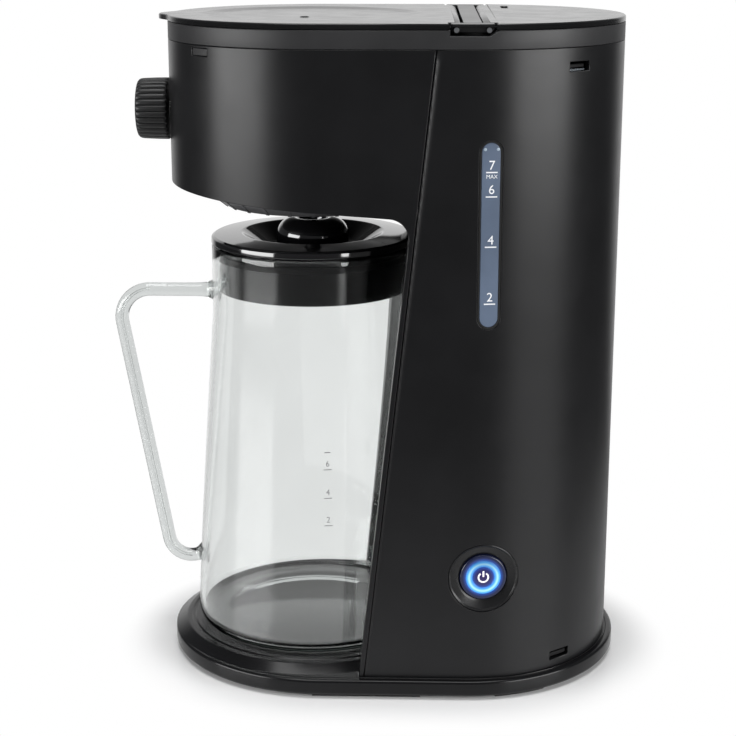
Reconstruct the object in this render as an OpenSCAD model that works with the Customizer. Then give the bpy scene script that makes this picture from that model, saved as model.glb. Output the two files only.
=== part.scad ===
// Iced coffee maker: a tall oval body with a brew head in front, a glass jug under
// the head and a water tank behind it. The front (knob, handle and jug) faces -Y,
// the water window and the power button are on +X, and the base stands on z = 0.

/* [Body] */
// Radius of the body's round ends, so half its width
body_r = 79; // [74:0.5:84]
// Distance between the centres of the two round ends
body_straight = 73.5; // [66:0.5:82]
// Height of the top of the lids
total_h = 340; // [325:1:360]
// Wall of the moulded shells
wall = 2.5; // [1.8:0.1:3.2]
// Height of the collar and the lids together, above the shells
crown_h = 12; // [11:0.5:16]
// How far the front seam leans back, in degrees
seam_lean = 6.1; // [4:0.1:8]
// Depth of the column at its foot, from the rear centre to the front seam
column_depth = 52; // [46:0.5:58]
// Width of the rounded strip in front of the seam
lip_w = 2.6; // [1.5:0.1:4]
// Round corner between the head's bottom edge and the column
corner_r = 10; // [5:0.5:16]
// Space between the jug and the hollow in the column behind it
bay_gap = 4.8; // [3:0.1:6]

/* [Head] */
// Height of the head, from its bottom edge at the front to the top of the lids
head_h = 84; // [78:0.5:90]
// Fall of the head's bottom edge towards the column, in degrees
head_fall = 4; // [0:0.5:6]
// How far the floor plate sits up inside the head
floor_inset = 2; // [1:0.5:4]

/* [Base] */
// How far the base stands out round the body
base_out = 4.5; // [3:0.5:7]
// Height of the base's rim
base_h = 10.4; // [9:0.2:12]
// Height of the jug's seat over the rim
seat_h = 4; // [2:0.5:6]
// How far the jug's seat stands out round the jug
seat_out = 6.3; // [4:0.1:7]
// Radius of the round edge on the rim
rim_round = 2; // [1:0.25:3]
// Height of the rubber feet
foot_h = 2; // [1.5:0.25:3]

/* [Jug] */
// How much smaller the jug's radius is than the body's
jug_inset = 14.8; // [13:0.2:17]
// How much narrower the glass is at the rim than near the bottom
jug_taper = 11.2; // [8:0.2:14]
// Height of the straight neck under the rim
neck_h = 35; // [30:1:42]
// Distance from the basket's bowl down to the rim
rim_drop = 22; // [20:0.5:26]
// Thickness of the glass
glass_t = 2.6; // [2:0.1:3.5]
// Distance from the head's round end to the jug's axis
jug_forward = 6.5; // [4:0.5:8]
// How far the handle stands out from the neck
handle_out = 52.7; // [47:0.1:59]
// Radius of the handle's glass rod
rod_r = 3.6; // [3:0.1:4.5]
// Distance from the rim down to the handle's top arm
handle_drop = 26; // [24:1:34]
// Height of the handle's lower end
handle_low_z = 46; // [40:1:60]
// Lean of the handle's grip, in degrees
handle_lean = 10; // [6:0.5:12]

/* [Jug lid] */
// Depth of the lid's skirt inside the glass
skirt_h = 24; // [16:1:30]
// Thickness of the lid's flange
flange_t = 4; // [3:0.25:5]
// Radius of the raised collar in the middle
collar_r = 17.5; // [14:0.5:20]
// Height of the collar over the flange
collar_h = 9; // [6:0.5:9]
// Radius of the hole that the coffee runs through
pour_r = 7; // [5:0.5:9]

/* [Knob and button] */
// Radius of the strength knob
knob_r = 15.8; // [13:0.2:18]
// Length of the strength knob
knob_len = 16.6; // [12:0.2:20]
// Distance from the top of the lids down to the knob's axis
knob_drop = 48.5; // [42:0.5:56]
// Number of flutes round the knob
knob_flutes = 30; // [20:1:36]
// Radius of the power button
button_r = 12.2; // [10:0.2:14]
// Radius of the recess round the button
recess_r = 18; // [16:0.5:20]
// Height of the button
button_z = 65; // [55:1:80]
// How far the button travels
button_travel = 2; // [1:0.25:2.5]
// Distance from the rear centre back to the button and the window
side_y = 9.7; // [6:0.1:12]

/* [Water window] */
// Width of the window's slot
slot_w = 11.6; // [9:0.2:14]
// Distance from the top of the shells down to the slot
slot_drop = 42; // [36:1:48]
// Length of the slot
slot_len = 92; // [80:1:98]

/* [Tank and heater] */
// Wall of the water tank
tank_wall = 2; // [1.5:0.1:2.5]
// How far the tank reaches below the window
tank_under = 12; // [8:0.5:18]
// Radius of the heater's ring
heater_r = 24; // [22:0.5:25]
// Height of the heater's underside
heater_z = 38; // [34:1:44]
// Sideways distance from the middle to each hose
hose_x = 18.9; // [17:0.1:20]

/* [Brew basket] */
// How much smaller the basket's radius is than the body's
basket_inset = 20; // [19:0.5:23]
// How much narrower the basket's lower bowl is than its top
bowl_inset = 7; // [6:0.5:10]
// How far the bowl hangs below the head's bottom edge
bowl_drop = 12; // [10:0.5:14]

/* [Hidden] */
$fn = 96;

// Clearances: between moving pieces, between fixed pieces, and round a shaft
gap = 0.3;
seam = 0.15;
run = 0.05;
big = 400;

// Radii and heights that follow the body
jug_r = body_r - jug_inset;
jug_neck_r = jug_r - jug_taper;
bay_r = jug_r + bay_gap;
seat_r = jug_r + seat_out;
basket_r = body_r - basket_inset;
bowl_r = basket_r - bowl_inset;
handle_reach = jug_neck_r + handle_out;
shell_top = total_h - crown_h;
head_z = total_h - head_h;
knob_z = total_h - knob_drop;
bowl_z = head_z - bowl_drop;
jug_rim_z = bowl_z - rim_drop;
neck_z = jug_rim_z - neck_h;
handle_top_z = jug_rim_z - handle_drop;
slot_z = shell_top - slot_drop - slot_len;
tank_z = slot_z - tank_under;

// Front to back: the middle of the whole object is y = 0
base_r = body_r + base_out;
rear_reach = base_r + body_straight + jug_forward;
jug_y = (handle_reach - rear_reach) / 2;
front_y = jug_y + jug_forward;
rear_y = front_y + body_straight;
seam_y0 = rear_y - column_depth;
bay_wall_r = bay_r + wall;
inner_r = body_r - wall;

// Heights of the base
plate_t = 2;
base_top = base_h;
seat_z = base_top + seat_h;
shell_z = base_top + seam;

// Heights and hinge axes of the lids
lid_t = 2.7;
lid_z = total_h - lid_t;
collar_top = lid_z - gap;
pin_z = collar_top;
barrel_r = total_h - pin_z - 0.1;
pin_r = 1.2;
ear_r = barrel_r - 0.2;
hinge_gap = 15.3;
hinge_mid = rear_y + 0.05;
front_pin_y = hinge_mid - hinge_gap / 2;
rear_pin_y = hinge_mid + hinge_gap / 2;
bar_half = hinge_gap / 2 - barrel_r - 1;
ear_x = body_r - 9;

// The jug
jug_z = seat_z + 0.2;
jug_corner = 8;
jug_floor = 5;
neck_in_r = jug_neck_r - glass_t;
flange_z = jug_rim_z + gap;
lid_top_z = flange_z + flange_t;
collar_z = lid_top_z + collar_h;
skirt_r = neck_in_r - 1.2;

// The basket and the drip valve
basket_low = head_z + floor_inset + wall + 2;
basket_top = shell_top - 9;
basket_t = 1.8;
bowl_floor = bowl_z + basket_t;
valve_tip_z = collar_z + 0.8;
cage_z = bowl_floor + 14;

// The button's axis, square to the curved side
button_turn = asin(side_y / body_r);
button_face = body_r - 1.6;
board_x = body_r - 26;

// The hoses and the heater
hose_y = rear_y + 4.5;
tube_r = 4;
hose_in = tube_r + run;
hose_out = tube_r + 2.4;
tube_ring = heater_r + 5 + tube_r + 0.02;
heater_h = 20;
tube_z = heater_z + heater_h / 2;
ring_y = hose_y + sqrt(tube_ring * tube_ring - hose_x * hose_x);
stub_top = tube_z + 22;
spout_z = shell_top - 4.5;
tank_top = spout_z - 6;
valve_z = tank_z - 42;

function seam_y(z) = seam_y0 + z * tan(seam_lean);
function head_bottom(y) = head_z - (y - front_y + body_r) * tan(head_fall);
// Outer radius of the glass at a height: a slow taper that starts gently
function glass_r(z) = jug_r - (jug_r - jug_neck_r) * pow(max(0, (z - jug_z) / (neck_z - jug_z)), 1.2);

// Flat shape with two round ends, and the solids made from it
module oval2d(r) {
  translate([0, front_y]) circle(r = r);
  translate([0, rear_y]) circle(r = r);
  translate([-r, front_y]) square([2 * r, body_straight]);
}
module oval(r, z0, z1) translate([0, 0, z0]) linear_extrude(height = z1 - z0) oval2d(r);
module oval_ring(r_out, r_in, z0, z1) difference() {
  oval(r_out, z0, z1);
  oval(r_in, z0 - 1, z1 + 1);
}
// Carries a profile drawn as radius and height round the oval
module oval_turned() {
  translate([0, front_y, 0]) rotate_extrude() children();
  translate([0, rear_y, 0]) rotate_extrude() children();
  translate([0, rear_y, 0]) rotate([90, 0, 0]) linear_extrude(height = body_straight) {
    children();
    mirror([1, 0]) children();
  }
}
// Extrudes a side view, drawn as y and z, right across the object
module side(w = big) translate([-w / 2, 0, 0]) rotate([90, 0, 90]) linear_extrude(height = w) children();
module at_jug(z = 0) translate([0, jug_y, z]) children();
// Frame on the curved side: local +X points straight out of the body
module at_side(z) translate([0, rear_y, z]) rotate([0, 0, button_turn]) children();
module rod_x(r, x0, x1) translate([x0, 0, 0]) rotate([0, 90, 0]) cylinder(r = r, h = x1 - x0);
module rod_y(r, y0, y1) translate([0, y0, 0]) rotate([-90, 0, 0]) cylinder(r = r, h = y1 - y0);
module tube(r_out, r_in, h) difference() {
  cylinder(r = r_out, h = h);
  translate([0, 0, -1]) cylinder(r = r_in, h = h + 2);
}
module slot2d(w, l) {
  translate([0, w / 2]) circle(d = w);
  translate([0, l - w / 2]) circle(d = w);
  translate([-w / 2, w / 2]) square([w, l - w]);
}
module both_sides() {
  children();
  mirror([1, 0, 0]) children();
}

// Side view regions: behind the leaning seam, in front of it, and over the head's bottom
module behind_seam(d) polygon([[seam_y(0) + d, 0], [big, 0], [big, big], [seam_y(big) + d, big]]);
module before_seam(d) polygon([[seam_y(0) + d, 0], [-big, 0], [-big, big], [seam_y(big) + d, big]]);
module above_head(d) polygon([[-big, head_bottom(-big) + d], [big, head_bottom(big) + d], [big, 2 * big],
  [-big, 2 * big]]);
module below_head(d) polygon([[-big, head_bottom(-big) + d], [big, head_bottom(big) + d], [big, -1],
  [-big, -1]]);

// The open space under the head in side view, with its round upper corner
corner_z = (head_z - (seam_y0 - lip_w - front_y + body_r) * tan(head_fall))
  / (1 + tan(head_fall) * tan(seam_lean));
corner_y = seam_y(corner_z) - lip_w;
corner_reach = corner_r / tan((90 - seam_lean + head_fall) / 2);
corner_head = [corner_y - corner_reach * cos(head_fall), corner_z + corner_reach * sin(head_fall)];
corner_lip = [corner_y - corner_reach * sin(seam_lean), corner_z - corner_reach * cos(seam_lean)];
corner_mid = [corner_head.x - corner_r * sin(head_fall), corner_head.y - corner_r * cos(head_fall)];
module bay_side() {
  polygon([[-big, head_bottom(-big)], corner_head, corner_mid, corner_lip, [seam_y(-1) - lip_w, -1],
    [-big, -1]]);
  translate(corner_mid) circle(r = corner_r);
}

// Moulded base: a rimmed oval with the jug's raised seat and an upstand that locates the shells
module rim_profile() {
  polygon([[0, foot_h + 0.2], [base_r - 1, foot_h + 0.2], [base_r, foot_h + 1.2],
    [base_r, base_top - rim_round], [base_r - rim_round, base_top - rim_round],
    [base_r - rim_round, base_top], [0, base_top]]);
  translate([base_r - rim_round, base_top - rim_round]) intersection() {
    circle(r = rim_round);
    square(rim_round);
  }
}
post_x = body_r - 24;
base_posts = [[-post_x, front_y - 20], [post_x, front_y - 20], [-post_x, rear_y + 20], [post_x, rear_y + 20]];
module base_platform() color([0.11, 0.11, 0.12]) {
  difference() {
    union() {
      oval_turned() rim_profile();
      intersection() {
        at_jug(base_top) cylinder(r1 = seat_r + seat_h * 1.6, r2 = seat_r, h = seat_h);
        union() {
          side() before_seam(-lip_w - gap);
          at_jug() cylinder(r = bay_r - gap, h = big);
        }
        oval(base_r - rim_round - 0.5, 0, big);
      }
      intersection() {
        oval_ring(inner_r - seam, inner_r - wall, base_top - 1, base_top + 11);
        side() behind_seam(3);
      }
    }
    oval(base_r - wall, foot_h - 1, base_top - wall);
    at_jug() cylinder(r = bay_r - gap - wall, h = seat_z - wall);
  }
  difference() {
    for (p = base_posts) translate([p.x, p.y, foot_h + plate_t])
      cylinder(r = 4, h = (p.y < 0 ? seat_z : base_top) - 1 - foot_h - plate_t);
    for (p = base_posts) translate([p.x, p.y, 0]) cylinder(r = 1.5, h = base_top - 2);
  }
}

// Bottom cover with its four screws, and the rubber feet under it
module base_plate() color([0.15, 0.15, 0.16]) difference() {
  oval(base_r - wall - seam, foot_h, foot_h + plate_t);
  for (p = base_posts) translate([p.x, p.y, foot_h - 1]) cylinder(r = 1.7, h = plate_t + 2);
  for (p = base_posts) translate([p.x, p.y, foot_h - 1]) cylinder(r = 3.2, h = 2.2);
}
module base_screws() color([0.6, 0.6, 0.62]) for (p = base_posts) translate([p.x, p.y, 0]) {
  translate([0, 0, foot_h]) cylinder(r = 3, h = 1.1);
  translate([0, 0, foot_h]) cylinder(r = 1.45, h = base_top - foot_h - 2.5);
}
module foot_arc(y, from, to) translate([0, y, 0]) rotate([0, 0, from]) rotate_extrude(angle = to - from)
  translate([base_r - 11, 0]) square([7, foot_h]);
module rubber_feet() color([0.08, 0.08, 0.08]) {
  both_sides() translate([base_r - 11, front_y - 4, 0]) cube([7, body_straight - 18, foot_h]);
  foot_arc(front_y, 240, 300);
  both_sides() foot_arc(rear_y, 12, 32);
  foot_arc(rear_y, 75, 105);
}

// Shells. The clip slots pass through their walls near the top and the bottom
slot_angles = [41, 39.5];
slot_heights = [shell_top - 9, base_top + 6.6];
module clip_box(i, w, h, r0, r1) both_sides() translate([0, rear_y, slot_heights[i]])
  rotate([0, 0, slot_angles[i]]) translate([r0, -w / 2, -h / 2]) cube([r1 - r0, w, h]);
module rear_shell() color([0.1, 0.1, 0.11]) difference() {
  union() {
    oval_ring(body_r, inner_r, shell_z, shell_top);
    intersection() {
      oval_ring(inner_r + 1, inner_r - 4, tank_z - 3, tank_z - seam);
      side() behind_seam(3);
    }
  }
  side() before_seam(seam / 2);
  for (i = [0, 1]) clip_box(i, 13, 4.6, inner_r - 1, body_r + 2);
  side_slot(0, body_r - 10, body_r + 10);
  at_side(button_z) rod_x(recess_r + seam, body_r - 12, body_r + 5);
  translate([0, rear_y, gland_z]) rod_y(gland_r, body_r - 10, body_r + 5);
}
// The column front sits this much inside the panel's edges
step = 0.1;
module front_panel() difference() {
  before_seam(-seam / 2);
  bay_side();
}
module column_front() intersection() {
  behind_seam(step - lip_w);
  below_head(floor_inset);
}
module front_shell() color([0.1, 0.1, 0.11]) {
  difference() {
    intersection() {
      oval_ring(body_r, inner_r, shell_z, shell_top);
      side() front_panel();
    }
    translate([0, wall_y, knob_z]) rod_y(bushing_r, -1, 10);
    translate([0, front_y, shell_top - 3]) rotate([0, 0, -47.5]) translate([inner_r - 1, -5, -2.5])
      cube([10, 10, 5]);
  }
  difference() {
    intersection() {
      oval(inner_r + wall / 2, shell_z + step, shell_top);
      side() column_front();
    }
    at_jug() cylinder(r = bay_r, h = big);
    difference() {
      side() behind_seam(wall - lip_w);
      at_jug() cylinder(r = bay_wall_r, h = big);
    }
  }
}

// Floor of the head, with the well that carries the brew basket's rim
module head_floor() color([0.13, 0.13, 0.14]) difference() {
  union() {
    intersection() {
      oval(inner_r - seam, 0, shell_top);
      side() difference() {
        above_head(floor_inset);
        above_head(floor_inset + wall);
      }
      union() {
        side() before_seam(-lip_w);
        at_jug() cylinder(r = bay_wall_r, h = big);
      }
    }
    intersection() {
      at_jug() tube(basket_r + 4, basket_r + 1.5, basket_top - 2);
      side() above_head(floor_inset + 1);
    }
  }
  at_jug() cylinder(r = bowl_r + 1, h = big);
}

// Collar under the lids, with a lip inside the shells, and the clips in the shells' slots
module top_collar() color([0.1, 0.1, 0.11]) difference() {
  union() {
    oval_ring(body_r, body_r - 6, shell_top + seam, collar_top);
    oval_ring(inner_r - seam, inner_r - wall, tank_top + gap, shell_top + 1);
  }
  translate([-big / 2, front_pin_y - ear_r - gap, pin_z - ear_r])
    cube([big, hinge_gap + 2 * ear_r + 2 * gap, big]);
}
module collar_clips() color([0.14, 0.14, 0.15]) for (i = [0, 1])
  clip_box(i, 12.4, 3, inner_r - seam + 0.2, body_r - 1);

// Bridge between the lids, with round ears at its ends for the hinge pins
module ear_profile() {
  translate([front_pin_y, pin_z]) circle(r = ear_r);
  translate([rear_pin_y, pin_z]) circle(r = ear_r);
  translate([front_pin_y, pin_z - ear_r]) square([hinge_gap, 2 * ear_r]);
}
module hinge_bridge() color([0.1, 0.1, 0.11]) difference() {
  union() {
    intersection() {
      oval(body_r - 0.3, 0, big);
      both_sides() translate([ear_x, 0, 0]) rotate([90, 0, 90]) linear_extrude(height = 20) ear_profile();
    }
    translate([-ear_x - 1, hinge_mid - bar_half, pin_z - ear_r])
      cube([2 * ear_x + 2, 2 * bar_half, 2 * ear_r]);
    translate([-body_r + 6.5, hinge_mid - bar_half, pin_z - 6]) cube([2 * body_r - 13, 2 * bar_half, 5]);
  }
  for (y = [front_pin_y, rear_pin_y]) translate([0, y, pin_z]) rod_x(pin_r, -body_r, body_r);
}
module hinge_pins() color([0.75, 0.76, 0.78]) both_sides()
  for (y = [front_pin_y, rear_pin_y]) translate([0, y, pin_z]) rod_x(pin_r, ear_x - 8, body_r - 0.9);

// Lids: a plate with a hinge barrel and a skirt that hangs inside the collar
barrel_x = ear_x - gap;
skirt_out = body_r - 7;
module lid_barrel(y) difference() {
  translate([0, y, pin_z]) rod_x(barrel_r, -barrel_x, barrel_x);
  translate([0, y, pin_z]) rod_x(pin_r + run, -body_r, body_r);
}
module ear_gap(y, toward) both_sides() translate([barrel_x, y - (toward > 0 ? 0 : big), 0])
  cube([big, big, big]);
module front_lid() color([0.2, 0.2, 0.21]) {
  difference() {
    union() {
      oval(body_r, lid_z, total_h);
      translate([0, front_y - body_r + 15, lid_z]) cylinder(r = 20, h = lid_t);
    }
    translate([-big / 2, front_pin_y, 0]) cube([big, big, big]);
    ear_gap(front_pin_y - ear_r - 2 * gap, 1);
    translate([0, front_pin_y, pin_z]) rod_x(pin_r + run, -body_r, body_r);
    at_jug(total_h - 0.8) cylinder(r1 = basket_r - 9, r2 = basket_r - 3, h = 0.81);
    translate([20, jug_y - 2, 0]) cylinder(r = 1.5, h = big);
  }
  difference() {
    oval_ring(skirt_out, skirt_out - wall, lid_z - 6, lid_z);
    translate([-big / 2, front_pin_y - 8, 0]) cube([big, big, big]);
  }
  lid_barrel(front_pin_y);
}
module rear_lid() color([0.2, 0.2, 0.21]) {
  difference() {
    oval(body_r, lid_z, total_h);
    translate([-big / 2, rear_pin_y - big, 0]) cube([big, big, big]);
    ear_gap(rear_pin_y + ear_r + 2 * gap, -1);
    translate([0, rear_pin_y, pin_z]) rod_x(pin_r + run, -body_r, body_r);
  }
  difference() {
    oval_ring(skirt_out, skirt_out - wall, lid_z - 6, lid_z);
    translate([-big / 2, rear_pin_y + 8 - big, 0]) cube([big, big, big]);
  }
  lid_barrel(rear_pin_y);
}

// Shower plate under the front lid: a shallow cup with rings of holes and the water's inlet
shower_r = basket_r - 13;
shower_z = lid_z - 8;
nozzle = [0, jug_y + 34];
module shower_plate() color([0.85, 0.86, 0.88]) difference() {
  at_jug(shower_z) cylinder(r = shower_r, h = lid_z - shower_z);
  at_jug(shower_z + 1.6) cylinder(r = shower_r - 1.5, h = lid_z);
  for (ring = [1 : 3], i = [0 : 7]) at_jug() rotate([0, 0, i * 45 + ring * 15]) translate([ring * 8.5, 0, 0])
    cylinder(r = 1.2, h = big);
  translate([nozzle.x, nozzle.y, 0]) cylinder(r = 5, h = big);
}

// Strength knob, its shaft through the head's wall, and the disc valve behind the wall
wall_y = front_y - body_r;
bushing_r = 6;
shaft_r = 3;
knob_back = wall_y - 0.7;
valve_y = wall_y + wall + 3.5;
module at_knob() translate([0, knob_back, knob_z]) rotate([90, 0, 0]) children();
module strength_knob() color([0.13, 0.13, 0.14]) at_knob() difference() {
  rotate_extrude() polygon([[0, 0], [knob_r, 0], [knob_r - 0.5, knob_len - 2.5],
    [knob_r - 1.2, knob_len - 1.1], [knob_r - 2.6, knob_len - 0.4], [6, knob_len], [0, knob_len]]);
  for (i = [1 : knob_flutes]) rotate([0, 0, i * 360 / knob_flutes]) translate([knob_r + 0.3, 0, 2])
    cylinder(r = 1.1, h = knob_len);
  translate([0, 0, -1]) cylinder(r = shaft_r, h = 10);
}
module knob_shaft() color([0.7, 0.71, 0.73]) translate([0, 0, knob_z])
  rod_y(shaft_r, knob_back - 8.8, valve_y + 2.4);
module knob_bushing() color([0.85, 0.85, 0.83]) translate([0, 0, knob_z]) difference() {
  union() {
    rod_y(bushing_r, wall_y - 0.3, wall_y + wall + 3);
    rod_y(bushing_r + 3, wall_y + wall + 0.8, wall_y + wall + 2.8);
  }
  rod_y(shaft_r + run, wall_y - 5, wall_y + 20);
}
module strength_valve() color([0.85, 0.85, 0.83]) translate([0, 0, knob_z]) difference() {
  rod_y(8, valve_y, valve_y + 2.4);
  rod_y(shaft_r, valve_y - 1, valve_y + 5);
  translate([5.5, 0, 0]) rod_y(1.3, valve_y - 1, valve_y + 5);
}

// Power button: a cap with a light ring, its stem, the switch on its board, and the bezel
cap_t = 8;
light_out = 9;
light_in = 5.35;
light_t = 3;
cap_back = button_face - cap_t;
switch_top = board_x + 1.6 + 7;
stem_end = switch_top + button_travel + gap;
module power_button() color([0.06, 0.07, 0.12]) at_side(button_z) difference() {
  union() {
    rod_x(button_r - gap, cap_back, button_face - 0.6);
    translate([button_face - 0.6, 0, 0]) rotate([0, 90, 0])
      cylinder(r1 = button_r - gap, r2 = button_r - gap - 0.6, h = 0.6);
  }
  difference() {
    rod_x(light_out, button_face - light_t, button_face + 1);
    rod_x(light_in, button_face - light_t - 1, button_face + 2);
  }
}
module light_ring() color([0.2, 0.55, 1]) at_side(button_z) difference() {
  rod_x(light_out, button_face - light_t, button_face + 0.1);
  rod_x(light_in, button_face - light_t - 1, button_face + 2);
}
module button_stem() color([0.8, 0.8, 0.8]) at_side(button_z) rod_x(4, stem_end, cap_back);
bezel_posts = [[-10, -12.6], [10, -12.6], [-10, 12.6], [10, 12.6]];
module button_bezel() color([0.1, 0.1, 0.11]) {
  difference() {
    intersection() {
      at_side(button_z) rod_x(recess_r, cap_back + 2, body_r + 5);
      oval(body_r - 0.1, 0, big);
    }
    at_side(button_z) rod_x(button_r, 0, big);
    at_side(button_z) translate([button_face - 1.2, 0, 0]) rotate([0, 90, 0])
      cylinder(r1 = button_r, r2 = recess_r - 0.4, h = 2.6);
  }
  at_side(button_z) for (p = bezel_posts) translate([0, p.x, p.y]) rod_x(1.6, board_x + 1.6, cap_back + 2);
}
module circuit_board() color([0.1, 0.35, 0.2]) at_side(button_z)
  translate([board_x, -13, -17]) cube([1.6, 26, 34]);
module push_switch() color([0.15, 0.15, 0.15]) at_side(button_z) {
  translate([board_x + 1.6, -6, -6]) cube([4, 12, 12]);
  rod_x(3, board_x + 5.6, switch_top);
}

// Water window: a clear lens with a dark gasket round it in the shell's slot
gasket_w = 1.1;
module side_slot(inset, x0, x1) at_side(slot_z + inset) translate([x0, 0, 0]) rotate([90, 0, 90])
  linear_extrude(height = x1 - x0) slot2d(slot_w - 2 * inset, slot_len - 2 * inset);
module tank_window() color([0.45, 0.52, 0.6, 0.8]) side_slot(gasket_w, inner_r + 0.1 - seam, body_r - 0.4);
module window_gasket() color([0.05, 0.05, 0.05]) difference() {
  side_slot(0.05, inner_r + 0.1, body_r - 0.25);
  side_slot(gasket_w, inner_r - 5, body_r + 5);
}

// Water tank behind the basket, notched for the riser hose, with its outlet spigot
module tank_plan(d) difference() {
  oval2d(inner_r - 0.5 - d);
  translate([0, jug_y]) circle(r = bay_wall_r + 1.5 + d);
  translate([-hose_x, hose_y]) circle(r = 8.5 + d);
  translate([-hose_x - 8.5 - d, hose_y - 60]) square([17 + 2 * d, 60]);
}
module tank_body(d, z0, z1) intersection() {
  translate([0, 0, z0]) linear_extrude(height = z1 - z0) tank_plan(d);
  side() behind_seam(1.5 + d);
}
module water_tank() color([0.3, 0.34, 0.38, 0.6]) difference() {
  union() {
    tank_body(0, tank_z, tank_top);
    translate([hose_x, hose_y, tank_z - 10]) cylinder(r = 6, h = 11);
  }
  tank_body(tank_wall, tank_z + tank_wall, tank_top + 1);
  translate([hose_x, hose_y, tank_z - 11]) cylinder(r = tube_r, h = 20);
}
module at_outlet(z) translate([hose_x, hose_y, z]) children();
module tank_strainer() color([0.75, 0.76, 0.78]) at_outlet(tank_z + tank_wall) difference() {
  cylinder(r = 7, h = 3);
  translate([0, 0, -1]) cylinder(r = 5.8, h = 3.2);
  for (i = [0 : 5]) rotate([0, 0, i * 60]) translate([3.4, 0, 0]) cylinder(r = 1, h = 9);
}

// Water path from the tank down through the check valve to the heater, then up to the spout
module check_valve() color([0.85, 0.85, 0.83]) translate([hose_x, hose_y, 0]) difference() {
  union() {
    translate([0, 0, valve_z]) cylinder(r = 8, h = tank_z - 12 - valve_z);
    translate([0, 0, tank_z - 12]) cylinder(r = tube_r - run, h = 10);
    translate([0, 0, valve_z - 12]) cylinder(r = tube_r, h = 13);
  }
  translate([0, 0, valve_z - 13]) cylinder(r = 2.4, h = big);
}
module inlet_hose() color([0.8, 0.8, 0.76]) translate([hose_x, hose_y, stub_top - 12])
  tube(hose_out, hose_in, valve_z - gap - stub_top + 12);
riser_top = spout_z - 5;
module riser_hose() color([0.8, 0.8, 0.76]) translate([-hose_x, hose_y, stub_top - 12])
  tube(hose_out, hose_in, riser_top - stub_top + 12);
clamp_places = [[hose_x, stub_top - 9], [hose_x, valve_z - 8], [-hose_x, stub_top - 9],
  [-hose_x, riser_top - 9]];
module hose_clamps() color([0.7, 0.71, 0.73]) for (c = clamp_places) translate([c.x, hose_y, c.y])
  tube(hose_out + 1, hose_out + 0.02, 5);
spout_run = [nozzle.x + hose_x, nozzle.y - hose_y];
spout_l = norm(spout_run);
module water_spout() color([0.12, 0.12, 0.13]) {
  difference() {
    translate([-hose_x, hose_y, riser_top - 12]) cylinder(r = tube_r, h = 12 + spout_z - riser_top);
    translate([-hose_x, hose_y, riser_top - 13]) cylinder(r = 2.6, h = 14);
  }
  translate([-hose_x, hose_y, spout_z - tube_r]) cylinder(r = tube_r + 0.8, h = 2 * tube_r - 0.5);
  translate([-hose_x, hose_y, spout_z]) rotate([0, 90, atan2(spout_run.y, spout_run.x)])
    cylinder(r = tube_r - 0.2, h = spout_l);
  translate([nozzle.x, nozzle.y, spout_z - tube_r])
    cylinder(r = tube_r, h = shower_z - 0.5 - spout_z + tube_r);
}

// Ring heater with its water tube, thermostat, fuse, bracket and screws
tube_end = asin(hose_x / tube_ring);
module ring_frame(z) translate([0, ring_y, z]) rotate([0, 0, tube_end - 90]) children();
module heater_body() color([0.72, 0.73, 0.75]) ring_frame(heater_z) rotate([0, 0, 10])
  rotate_extrude(angle = 340 - 2 * tube_end)
  translate([heater_r - 5, 0]) square([10, heater_h]);
module heater_tube() color([0.6, 0.61, 0.63]) {
  ring_frame(tube_z) rotate_extrude(angle = 360 - 2 * tube_end) translate([tube_ring, 0]) circle(r = tube_r);
  both_sides() {
    translate([hose_x, hose_y, tube_z - tube_r - 1]) cylinder(r = tube_r + 1, h = 2 * tube_r + 2);
    translate([hose_x, hose_y, tube_z]) difference() {
      cylinder(r = tube_r, h = stub_top - tube_z);
      translate([0, 0, tube_r + 2]) cylinder(r = 2.4, h = big);
    }
  }
}
leg_r = 15;
leg_angles = [90, 210, 330];
bracket_t = 2;
module heater_bracket() color([0.65, 0.66, 0.68]) translate([0, ring_y, 0]) difference() {
  union() {
    translate([0, 0, heater_z - bracket_t]) tube(heater_r + 5, leg_r - 5, bracket_t);
    for (a = leg_angles) rotate([0, 0, a]) translate([leg_r, 0, base_top])
      cylinder(r = 4, h = heater_z - base_top);
  }
  for (a = leg_angles) rotate([0, 0, a]) translate([leg_r, 0, heater_z - 12]) cylinder(r = 1.5, h = 20);
}
module heater_screws() color([0.6, 0.6, 0.62]) translate([0, ring_y, 0]) for (a = leg_angles)
  rotate([0, 0, a]) translate([leg_r, 0, 0]) {
    translate([0, 0, heater_z - 10]) cylinder(r = 1.45, h = 11);
    translate([0, 0, heater_z]) cylinder(r = 3, h = 1.8);
  }
module thermostat() color([0.8, 0.8, 0.82]) translate([0, ring_y + heater_r, heater_z + heater_h]) {
  cylinder(r = 7, h = 5);
  translate([0, 0, 5]) cylinder(r = 4.5, h = 3);
}
module thermal_fuse() color([0.85, 0.82, 0.7]) translate([-heater_r, ring_y - 7, heater_z + heater_h + 2.5])
  rotate([-90, 0, 0]) cylinder(r = 2.5, h = 14);

// Cord inlet: a flanged bush through the rear shell
gland_z = 37;
gland_r = 6;
gland_bore = 3.4;
module cord_gland() color([0.07, 0.07, 0.07]) translate([0, rear_y, gland_z]) difference() {
  union() {
    rod_y(gland_r, inner_r - 5, body_r + 1);
    rod_y(gland_r + 2, body_r + 0.05, body_r + 2);
    rod_y(gland_r + 2, inner_r - 3, inner_r - 0.5);
  }
  rod_y(gland_bore, 0, big);
}

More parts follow.
